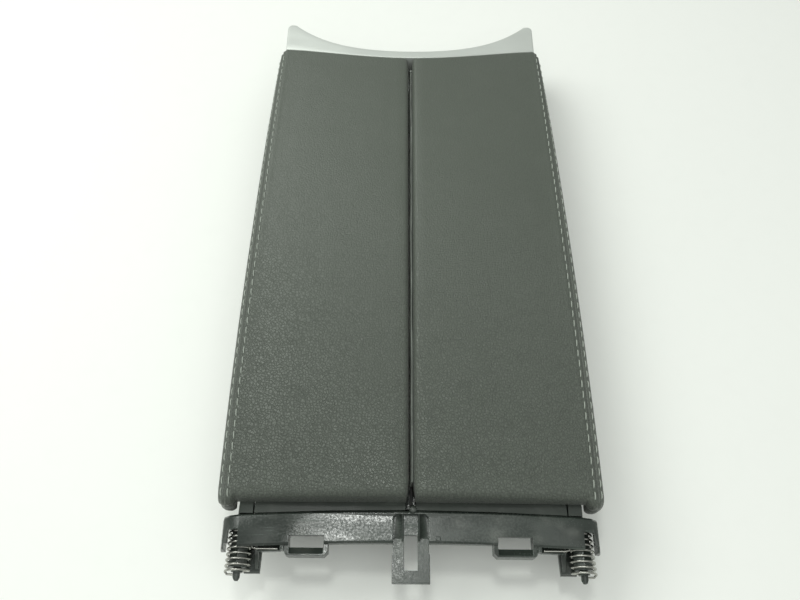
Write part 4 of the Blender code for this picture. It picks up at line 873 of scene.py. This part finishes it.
@dataclass
class Lid:
    """One lid: leather pad, sewn side band, stitching, and the moulded pieces under them."""

    side: Side
    shop: Workshop
    form: LidForm = LidForm()
    pad_depth: float = 0.0054
    rim: float = 0.00357
    rows: int = 118
    columns: int = 34
    thinnest: float = 0.0015
    seam_play: float = 0.00008
    puff: float = 0.0009
    pressure: float = 4.0
    frames: int = 20
    sewn_edge: float = 0.006
    glued: float = 0.004
    glue_fade: float = 0.012
    stitch_pitch: float = 0.0066
    stitch_length: float = 0.0049
    stitch_start: float = 0.0035
    stitch_ends: float = 0.006
    stitch_rise: float = 0.00030
    stitch_dive: float = 0.00085
    stitch_slant: float = 0.00035
    stitch_wobble: float = 0.00012
    thread: float = 0.00036

    def flip(self, point: Point) -> Point:
        """A point of the right lid, moved to this lid."""
        return (self.side.sign * point[0], point[1], point[2])

    def pad_columns(self, share: float) -> list[tuple[float, float, float]]:
        """Columns of the pad's grid at a share of the length.

        Returns:
            For each column its arc, its drop at the gap side and its lift.
        """
        form = self.form
        fillet = form.outer_x(share) - form.outer_radius
        start = form.gap_half - fillet
        steps = sorted(arc_steps(form.inner_radius, 7) + [self.rim, self.rim + HAIR])
        columns = [(start + s, round_off(s, form.inner_radius), 0.0) for s in steps]
        seam = form.seam_arc(share)
        near = (9.0, 7.4, 6.2, 5.3, 4.5, 3.8, 3.2, 2.7, 2.2, 1.8, 1.4, 1.0, 0.7, 0.45, 0.2, 0.0)
        tail = [seam - mm / 1000 for mm in near]
        middle = spread(columns[-1][0], tail[0], self.columns)[1:-1]
        columns += [(arc, 0.0, 0.0) for arc in middle]
        columns += [(arc, 0.0, form.seam_lift(seam - arc)) for arc in tail]
        return columns

    def pad_grids(self) -> tuple[Grid, Grid]:
        """Upper and lower points of the leather pad."""
        form = self.form
        top = []
        under = []
        for share in form.shares(self.rows, self.rim):
            top_row = []
            under_row = []
            at_end = form.end_distance(share) < self.rim + TINY
            for arc, drop, lift in self.pad_columns(share):
                x, y, z = form.skin(share, arc, lift)
                top_row.append(self.flip((x, y, z - drop)))
                in_rim = at_end or x - form.gap_half < self.rim + TINY
                low = form.base if in_rim else form.crown_z(x) - self.pad_depth
                under_row.append(self.flip((x, y, min(low, z - drop - self.thinnest))))
            top.append(top_row)
            under.append(under_row)
        return top, under

    def make_pad(self) -> bpy.types.Object:
        """Leather pad over its foam, swollen by a short cloth simulation."""
        top, under = self.pad_grids()
        pad = grid_solid(f"{self.side.value}_leather_pad", top, under, 5, 0.00025)
        free = len(top) * len(top[0])
        self.swell(pad, free)
        self.soften(pad, free)
        self.shop.dress(pad, "grained leather")
        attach(pad, self.side.lid)
        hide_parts(f"{self.side.value}_top_cover", f"{self.side.value}_foam_pad")
        return pad

    def hold_weight(self, point: Vector) -> float:
        """1 where the skin is glued or sewn down, 0 where the foam can lift it."""
        form = self.form
        x = abs(point.x)
        share = min(max((point.y - form.rear) / form.length, 0.0), 1.0)
        edge = min(x - form.gap_half, form.outer_x(share) - x - self.sewn_edge)
        edge = min(edge, point.y - form.rear, form.y_at(x, 1.0) - point.y)
        return 1.0 - min(max((edge - self.glued) / self.glue_fade, 0.0), 1.0)

    def swell(self, pad: bpy.types.Object, free: int) -> None:
        """Blow the pad's top up a little with cloth, and keep the capped result.

        Args:
            pad: The leather pad.
            free: How many points, from the first, belong to its top.
        """
        scene = bpy.context.scene
        held = pad.vertex_groups.new(name="held")
        for vertex in pad.data.vertices:
            weight = self.hold_weight(vertex.co) if vertex.index < free else 1.0
            held.add([vertex.index], weight, "REPLACE")
        cloth = pad.modifiers.new("swell", "CLOTH")
        cloth.settings.vertex_group_mass = "held"
        cloth.settings.use_pressure = True
        cloth.settings.uniform_pressure_force = self.pressure
        cloth.settings.effector_weights.gravity = 0.0
        cloth.settings.quality = 5
        for number in range(1, self.frames + 1):
            scene.frame_set(number)
        depsgraph = bpy.context.evaluated_depsgraph_get()
        swollen = pad.evaluated_get(depsgraph).data
        moves = [swollen.vertices[k].co - pad.data.vertices[k].co for k in range(free)]
        LOG.info("%s swells by up to %.4f m", pad.name, max(m.length for m in moves))
        for k, move in enumerate(moves):
            vertex = pad.data.vertices[k]
            rise = min(max(move.z, 0.0), self.puff * 2)
            share = rise / (rise + self.puff) * 2 if rise else 0.0
            vertex.co.z += self.puff * share * (1 - self.hold_weight(vertex.co))
        pad.modifiers.clear()
        pad.vertex_groups.clear()
        scene.frame_set(1)

    def soften(self, pad: bpy.types.Object, free: int) -> None:
        """Give the stretched skin the slight unevenness of hand-laid leather."""
        seed = Vector((7.1, 3.3, 1.9)) * (1 if self.side is Side.RIGHT else 2)
        for k in range(free):
            vertex = pad.data.vertices[k]
            broad = noise.noise(vertex.co * 17.0 + seed)
            fine = noise.noise(vertex.co * 55.0 + seed)
            loose = 1 - self.hold_weight(vertex.co)
            vertex.co.z += (0.00028 * broad + 0.00006 * fine) * loose

    def make_band(self) -> bpy.types.Object:
        """Leather band from the seam down over the outer edge and round the hanging rail."""
        form = self.form
        top = []
        under = []
        hidden_z = form.base - 0.0002
        away = (0.0, 0.25, 0.5, 0.8, 1.2, 1.6, 2.0, 2.4, 2.8, 3.3, 3.9, 4.6)
        full = form.outer_radius * math.pi / 2
        for share in form.shares(self.rows):
            outer = form.outer_x(share)
            seam = form.seam_arc(share)
            seam_x = form.skin(share, seam)[0]
            inner_x = outer - form.rail_width
            columns = [inner_x + s for s in arc_steps(form.rail_radius, 6)]
            columns += [(columns[-1] + seam_x) / 2, seam_x - self.seam_play]
            arcs = [seam + mm / 1000 for mm in away if seam + mm / 1000 < full - 0.0002] + [full]
            while len(arcs) < len(away) + 1:
                arcs.insert(-1, (arcs[-2] + arcs[-1]) / 2)
            top_row = []
            under_row = []
            for x in columns:
                y = form.y_at(x, share)
                top_row.append(self.flip((x, y, hidden_z)))
                under_row.append(self.flip((x, y, self.rail_z(share, x))))
            for arc in arcs:
                x, y, z = form.skin(share, arc, form.seam_lift(arc - seam))
                top_row.append(self.flip((x, y, z)))
                under_row.append(self.flip((x, y, self.rail_z(share, x))))
            top.append(top_row)
            under.append(under_row)
        band = grid_solid(f"{self.side.value}_leather_band", top, under, 6, 0.00035)
        self.shop.dress(band, "side leather")
        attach(band, self.side.lid)
        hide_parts(f"{self.side.value}_side_band")
        return band

    def rail_z(self, share: float, x: float) -> float:
        """Underside of the rounded rail."""
        form = self.form
        outer = form.outer_x(share)
        side = round_off(min(x - outer + form.rail_width, outer - x), form.rail_radius)
        end = round_off(form.end_distance(share), form.lobe_radius)
        return form.rail_low + max(side, end)

    def make_stitches(self, row: str, away: float) -> bpy.types.Object:
        """One row of topstitching beside the seam.

        Args:
            row: Name of the row.
            away: Signed distance from the seam, outwards.

        Returns:
            The row's stitches as one piece.
        """
        form = self.form
        verts: list[Point] = []
        faces: list[tuple[int, ...]] = []
        count = int((form.length - self.stitch_ends) / self.stitch_pitch)
        rings = 9
        for number in range(count):
            start = self.stitch_start + number * self.stitch_pitch
            wobble = noise.noise(Vector((number * 1.7, away * 900, self.side.sign)))
            path = []
            radii = []
            for k in range(rings):
                t = k / (rings - 1)
                share = (start + self.stitch_length * t) / form.length
                lift = self.stitch_rise - self.stitch_dive * abs(2 * t - 1) ** 3.0
                slant = (t - 0.5) * self.stitch_slant + wobble * self.stitch_wobble
                arc = form.seam_arc(share) + away + slant
                path.append(Vector(self.flip(form.skin(share, arc, lift))))
                radii.append(self.thread * (1.0 - 0.35 * abs(2 * t - 1) ** 4))
            more, made = tube_parts(path, radii, 8, len(verts))
            verts += more
            faces += made
        stitches = mesh_object(f"{self.side.value}_topstitch_{row}", verts, faces)
        self.shop.dress(stitches, "pale thread")
        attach(stitches, self.side.lid)
        return stitches

    def build(self) -> None:
        """Build the soft pieces and dress the moulded ones."""
        made = [self.make_pad(), self.make_band()]
        made.append(self.make_stitches("inner", -self.form.stitch_away))
        made.append(self.make_stitches("outer", self.form.stitch_away))
        for piece in made:
            LOG.info("%s: %d faces", piece.name, len(piece.data.polygons))
        name = self.side.value
        for part in ("lid_shell", "lid_liner"):
            self.shop.dress_node(f"{name}_{part}", "shell plastic")
        self.shop.dress_node(f"{name}_striker", "pale plastic")
        self.shop.dress_node(f"{name}_front_hinge_pin", "spring wire")
        self.shop.dress(twin(f"{name}_rear_hinge_pin", f"{name}_split_pin"), "carrier plastic")
        for end in ("front", "rear"):
            for place in ("inner", "outer"):
                self.shop.dress_node(f"{name}_liner_screw_{end}_{place}", "spring wire")


@dataclass
class GapSeal:
    """Thin rubber lip in the gap between the lids, with a knob in front and a black sheet of painted shade
    at the gap's rear end.
    """

    # Millimetres across and up, before the section is stretched to its height.
    SECTION = (
        (-0.7, 0.0), (1.0, 0.0), (1.0, 1.2), (0.9, 1.6), (0.9, 7.6), (1.15, 8.3), (1.2, 9.0), (0.95, 9.5),
        (0.55, 9.7), (0.15, 9.5), (-0.1, 9.0), (-0.05, 8.3), (0.2, 7.6), (0.2, 1.8), (-0.7, 1.2))

    shop: Workshop
    stations: int = 90
    wave: float = 0.00010
    top: float = 0.0563
    knob: float = 0.0011
    knob_x: float = 0.00055
    knob_back: float = 0.0004
    # Sheet of painted shade that runs on behind the lip's rear end.
    tail: float = 0.0114
    shade_sheet_left: float = -0.0009
    shade_sheet_right: float = 0.0011
    shade_sheet_height: float = 0.0012
    shade_sheet_gap: float = 0.0002

    def build(self) -> None:
        """Sweep the lip's beaded section along the gap."""
        low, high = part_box("gap_seal")
        scale = (self.top - low.z) / max(up for _, up in self.SECTION)
        verts = []
        faces = []
        size = len(self.SECTION)
        for i, y in enumerate(spread(low.y, high.y, self.stations)):
            shift = self.wave * math.sin(i * 0.37) + self.wave * math.sin(i * 0.11)
            for across, up in self.SECTION:
                verts.append((across / 1000 + shift, y, low.z + up * scale))
            if i:
                a = (i - 1) * size
                for k in range(size):
                    n = (k + 1) % size
                    faces.append((a + k, a + n, a + size + n, a + size + k))
        faces.append(tuple(range(size)))
        faces.append(tuple(len(verts) - size + k for k in reversed(range(size))))
        end = Vector((self.knob_x, high.y - self.knob_back, self.top))
        path = [end + Vector((0.0, reach, 0.0)) for reach in spread(-self.knob, self.knob, 9)]
        bulge = [math.sqrt(max(self.knob ** 2 - (p - end).length ** 2, 1e-9)) for p in path]
        more, made = tube_parts(path, bulge, 12, len(verts))
        lip = mesh_object("gap_lip", verts + more, faces + made)
        self.shop.dress(lip, "grey rubber")
        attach(lip, "right_lid")
        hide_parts("gap_seal")
        self.make_shade_sheet(low)
        LOG.info("gap lip: %d faces", len(lip.data.polygons))

    def make_shade_sheet(self, low: Vector) -> None:
        """Black sheet of painted shade, low in the gap, from behind the lip on to the rear end of the gap.
        """
        left, right = self.shade_sheet_left, self.shade_sheet_right
        high_z = low.z + self.shade_sheet_height
        rim = ((left, low.z), (right, low.z), (right, high_z), (left, high_z))
        # Black sheet that paints the shade at the rear end of the gap.
        shade_sheet = slab("gap_shade_sheet", rim, low.y - self.tail, low.y - self.shade_sheet_gap)
        self.shop.dress(shade_sheet, "painted shade black")
        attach(shade_sheet, "right_lid")


@dataclass
class Bezel:
    """Silver bezel with two horns, its button and its screws."""

    shop: Workshop
    form: LidForm = LidForm()
    half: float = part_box("front_trim")[1].x
    tip_y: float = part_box("front_trim")[1].y
    under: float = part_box("front_trim")[0].z
    back: float = 0.046
    gap: float = 0.0006
    depth: float = 0.0082
    bow: float = 0.0300
    curl: float = 0.0325
    tip_radius: float = 0.0035
    side_radius: float = 0.0011
    rear_radius: float = 0.0006
    rear_wall: float = 0.0011
    step: float = 0.0012
    edge: float = 0.003
    edge_min: float = 0.0008
    wall: float = 0.002
    button_clear: float = 0.0004
    stations: int = 61

    def rear_line(self, x: float) -> float:
        """Rear edge, which follows the leather's front edge."""
        return self.form.front_line(x) + self.gap

    def front_line(self, x: float) -> float:
        """Concave front edge up to the horns' tips."""
        u = (x / self.form.half_width) ** 2
        curve = self.form.front + self.gap + self.depth + self.bow * u + self.curl * u * u
        return min(curve, self.tip_y)

    def solid(self, name: str, inset: float, under: float, back: float) -> bpy.types.Object:
        """The bezel's form, moved inwards.

        Args:
            name: Name of the object.
            inset: How far the form lies inside the outer faces.
            under: Height of its underside in front.
            back: Height of its underside at the rear.

        Returns:
            A closed solid.
        """
        half = self.half - inset
        edge = max(self.edge - inset, self.edge_min)
        corner = [half - s for s in reversed(arc_steps(self.tip_radius, 7))]
        right = spread(0.0, corner[0], self.stations // 2 + 1)[:-1] + corner
        top = []
        low = []
        for x in [-x for x in reversed(right[1:])] + right:
            rear = self.rear_line(x) + inset
            tip = round_off(half - abs(x), self.tip_radius)
            front = self.front_line(x) - inset - tip
            z = self.form.crown_z(x) - self.step - inset
            side = round_off(half - abs(x), self.side_radius)
            columns = [(rear + s, round_off(s, self.rear_radius)) for s in arc_steps(self.rear_radius, 3)]
            for k in (1, 2, 3):
                columns.append((rear + (front - edge - rear) * k / 4 + self.rear_radius * (1 - k / 4), 0.0))
            columns += [(front - s, round_off(s, edge)) for s in reversed(arc_steps(edge, 7))]
            top.append([(x, y, z - drop - side) for y, drop in columns])
            low.append([(x, y, back if y < rear + self.rear_wall else under) for y, _ in columns])
        return grid_solid(name, top, low)

    def make_skin(self) -> bpy.types.Object:
        """Hollow bezel with the button's opening."""
        skin = self.solid("silver_bezel", 0.0, self.under, self.back)
        depth = self.under - 0.01
        subtract(skin, self.solid("bezel_room", self.wall, depth, depth))
        low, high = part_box("release_button")
        clear = self.button_clear
        corners = [(low.x - clear, low.z - clear), (high.x + clear, low.z - clear),
                   (high.x + clear, high.z + clear), (low.x - clear, high.z + clear)]
        subtract(skin, slab("button_room", corners, self.rear_line(0) + 0.0025, high.y + 0.02))
        skin.data.shade_smooth()
        skin.data.set_sharp_from_angle(angle=math.radians(40))
        self.shop.dress(skin, "satin silver")
        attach(skin, "carrier")
        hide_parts("front_trim")
        return skin

    def build(self) -> None:
        """Build the skin and dress the button and the screws."""
        skin = self.make_skin()
        LOG.info("%s: %d faces", skin.name, len(skin.data.polygons))
        self.shop.dress(twin("release_button", "button_cap"), "satin silver")
        for side in Side:
            for place in ("inner", "outer"):
                self.shop.dress_node(f"{side.value}_trim_screw_{place}", "spring wire")


@dataclass
class HingeSpring:
    """Torsion spring: tang in the split pin, coil round the mandrel, leg on the cross bar."""

    side: Side
    shop: Workshop
    axis_x: float = 0.100
    axis_y: float = -0.195
    axis_z: float = 0.0355
    toe: float = math.radians(2.5)
    radius: float = 0.0069
    wire: float = 0.00065
    turns: int = 7
    front_y: float = -0.1836
    rear_y: float = -0.2062
    steps: int = 46
    bracket: float = 0.0175
    bar_rear: float = -0.1906
    bar_bow: float = 0.0035
    bar_half: float = 0.1115
    leg_drop: float = 0.0009

    def on_axis(self, y: float) -> Vector:
        """Point of the hinge line at y."""
        x = self.axis_x - (y - self.axis_y) * math.tan(self.toe)
        return Vector((self.side.sign * x, y, self.axis_z))

    def path(self) -> list[Vector]:
        """Middle of the wire, from the tang to the end of the leg."""
        sign = self.side.sign
        out = Vector((sign * math.cos(self.toe), math.sin(self.toe), 0.0))
        up = Vector((0.0, 0.0, 1.0))
        tang_y = self.rear_y - 2 * self.wire
        points = [self.on_axis(tang_y) + out * reach for reach in (-0.0018, 0.0, 0.002, 0.0042, 0.0056)]
        start = math.radians(14)
        stop = math.radians(90) + 2 * math.pi * self.turns
        count = self.turns * self.steps
        for k in range(count + 1):
            share = k / count
            angle = start + (stop - start) * share
            y = self.rear_y + (self.front_y - self.rear_y) * share
            points.append(self.on_axis(y) + (out * math.cos(angle) + up * math.sin(angle)) * self.radius)
        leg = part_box(f"{self.side.value}_torsion_spring")
        end_x = leg[0].x if sign > 0 else leg[1].x
        leg_z = self.axis_z + self.radius - self.leg_drop
        leg_y = self.leg_y()
        bends = ((0.0015, -0.0009, 0.0), (0.0032, -0.0018, -0.0001), (0.0052, -0.0026, -0.0004))
        for inward, back, fall in bends:
            points.append(Vector((
                sign * (self.axis_x - inward), self.front_y + back, self.axis_z + self.radius + fall)))
        for inward, off in ((0.0085, 0.0004), (0.0110, 0.0)):
            points.append(Vector((sign * (self.axis_x - inward), leg_y + off, leg_z)))
        points.append(Vector((end_x, leg_y, leg_z)))
        return points

    def leg_y(self) -> float:
        """Middle of the leg, just behind the cross bar."""
        bracket_x = self.axis_x - self.bracket
        bar_rear = self.bar_rear - self.bar_bow * (bracket_x / self.bar_half) ** 2
        return bar_rear - 2 * self.wire

    def build(self) -> None:
        """Build the wire."""
        points = self.path()
        spring = tube(f"{self.side.value}_spring_wire", points, [self.wire] * len(points), 12)
        self.shop.dress(spring, "spring wire")
        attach(spring, "carrier")
        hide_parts(f"{self.side.value}_torsion_spring")
        LOG.info("%s: %d faces", spring.name, len(spring.data.polygons))


@dataclass
class Latch:
    """Lever, shaft, housing and the small spring under the front of the gap."""

    shop: Workshop
    turns: int = 4
    steps: int = 20
    wire: float = 0.0004
    coil_play: float = 0.0009
    leg: float = 0.004

    def make_spring(self) -> bpy.types.Object:
        """Fine wire of the lever's return spring."""
        shaft_low, shaft_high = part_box("latch_shaft")
        centre_y = (shaft_low.y + shaft_high.y) / 2
        centre_z = (shaft_low.z + shaft_high.z) / 2
        coil = (shaft_high.z - shaft_low.z) / 2 + self.coil_play
        low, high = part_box("latch_spring")
        start_x = low.x + self.wire
        end_x = high.x - self.wire
        rear = low.y + self.wire
        points = [Vector((start_x, rear, high.z)), Vector((start_x, rear, centre_z + self.leg))]
        count = self.turns * self.steps
        for k in range(count + 1):
            angle = math.pi + 2 * math.pi * k / self.steps
            x = start_x + (end_x - start_x) * k / count
            points.append(Vector((x, centre_y + coil * math.cos(angle), centre_z + coil * math.sin(angle))))
        points.append(Vector((end_x, centre_y - coil, centre_z - self.leg)))
        points.append(Vector((end_x, centre_y - coil, low.z)))
        return tube("latch_spring_wire", points, [self.wire] * len(points), 8)

    def build(self) -> None:
        """Dress the latch."""
        spring = self.make_spring()
        self.shop.dress(spring, "spring wire")
        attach(spring, "carrier")
        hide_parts("latch_spring")
        self.shop.dress(twin("latch_lever", "latch_claw", 0.0003), "pale plastic")
        self.shop.dress(twin("latch_shaft", "latch_pivot"), "spring wire")
        self.shop.dress_node("latch_housing", "shell plastic")
        LOG.info("latch dressed")


@dataclass
class Carrier:
    """The black moulding with its rubber stops."""

    shop: Workshop

    def build(self) -> None:
        """Dress the moulding and the stops."""
        body = twin("carrier_frame", "carrier_moulding")
        self.shop.dress(body, "carrier plastic")
        for side in Side:
            for end in ("front", "rear"):
                stop = twin(f"{side.value}_{end}_stop", f"{side.value}_{end}_buffer")
                self.shop.dress(stop, "soft rubber")
        LOG.info("carrier dressed: %d faces", len(body.data.polygons))


@dataclass
class Studio:
    """Pale floor, soft lamps and the camera of the photograph."""

    shop: Workshop
    camera_y: float = -0.2835
    camera_z: float = 0.518
    pitch: float = math.radians(62)
    lens: float = 36.0
    camera_x: float = -0.012
    roll: float = 0.0096
    shift: float = 0.0095
    floor_half: float = 3.0
    floor_gap: float = 0.0002
    world: float = 0.47
    world_colour: tuple[float, ...] = (0.97, 1.0, 0.97, 1.0)
    lamp_colour: Point = (0.965, 1.0, 0.955)

    def make_floor(self) -> None:
        """Large flat floor under the carrier's rim."""
        half = self.floor_half
        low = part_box("carrier_frame")[0].z - self.floor_gap
        verts = [(-half, -half, low), (half, -half, low), (half, half, low), (-half, half, low)]
        floor = mesh_object("tabletop", verts, [(0, 1, 2, 3)])
        self.shop.dress(floor, "pale tabletop")

    def make_lamp(
        self, name: str, place: Point, aim: Point, size: tuple[float, float], watts: float,
    ) -> None:
        """Rectangular soft lamp.

        Args:
            name: Its name.
            place: Where it stands.
            aim: What it looks at.
            size: Its width and height.
            watts: Its power.
        """
        lamp = bpy.data.lights.new(name, "AREA")
        lamp.shape = "RECTANGLE"
        lamp.size, lamp.size_y = size
        lamp.energy = watts
        lamp.color = self.lamp_colour
        obj = bpy.data.objects.new(name, lamp)
        obj.location = place
        direction = Vector(aim) - Vector(place)
        obj.rotation_euler = direction.to_track_quat("-Z", "Y").to_euler()
        bpy.context.scene.collection.objects.link(obj)

    def make_world(self) -> None:
        """Even pale surroundings, brighter where the camera sees them than as a light."""
        world = bpy.data.worlds.new("surroundings")
        bpy.context.scene.world = world
        world.use_nodes = True
        tree = Tree(world.node_tree)
        rays = tree.add("ShaderNodeLightPath")
        seen = tree.math("MAXIMUM", rays.outputs["Is Camera Ray"], rays.outputs["Is Transmission Ray"])
        strength = tree.step(seen, 0.0, 1.0, self.world, 1.0)
        ground = world.node_tree.nodes["Background"]
        ground.inputs["Color"].default_value = self.world_colour
        tree.feed(ground.inputs["Strength"], strength)

    def make_camera(self) -> None:
        """Camera behind and above the object, pitched down."""
        data = bpy.data.cameras.new("camera")
        data.lens = self.lens
        data.sensor_width = 36.0
        data.shift_x = self.shift
        data.clip_start = 0.01
        camera = bpy.data.objects.new("camera", data)
        turn = Matrix.Rotation(math.pi / 2 - self.pitch, 4, "X") @ Matrix.Rotation(self.roll, 4, "Z")
        place = Matrix.Translation((self.camera_x, self.camera_y, self.camera_z))
        camera.matrix_world = place @ turn
        bpy.context.scene.collection.objects.link(camera)
        bpy.context.scene.camera = camera

    def build(self) -> None:
        """Build floor, lamps, world and camera."""
        self.make_floor()
        self.make_world()
        self.make_camera()
        self.make_lamp("window", (-0.90, 0.58, 1.2), (0.0, 0.0, 0.0), (1.0, 0.9), 12.6)
        self.make_lamp("ceiling", (0.1, -0.7, 1.5), (0.0, -0.15, 0.0), (1.6, 1.4), 7.0)
        self.make_lamp("strip", (-0.065, 0.02, 1.05), (-0.03, -0.18, 0.046), (0.11, 0.12), 1.5)
        bpy.context.scene.view_settings.view_transform = "Standard"
        LOG.info("studio ready")


def main() -> None:
    """Build and dress the sub-assemblies in order."""
    logging.basicConfig(level=logging.INFO, format="%(name)s: %(message)s")
    shop = Workshop()
    Studio(shop).build()
    Carrier(shop).build()
    Bezel(shop).build()
    Latch(shop).build()
    for side in Side:
        Lid(side, shop).build()
        HingeSpring(side, shop).build()
    GapSeal(shop).build()


if __name__ == "__main__":
    main()
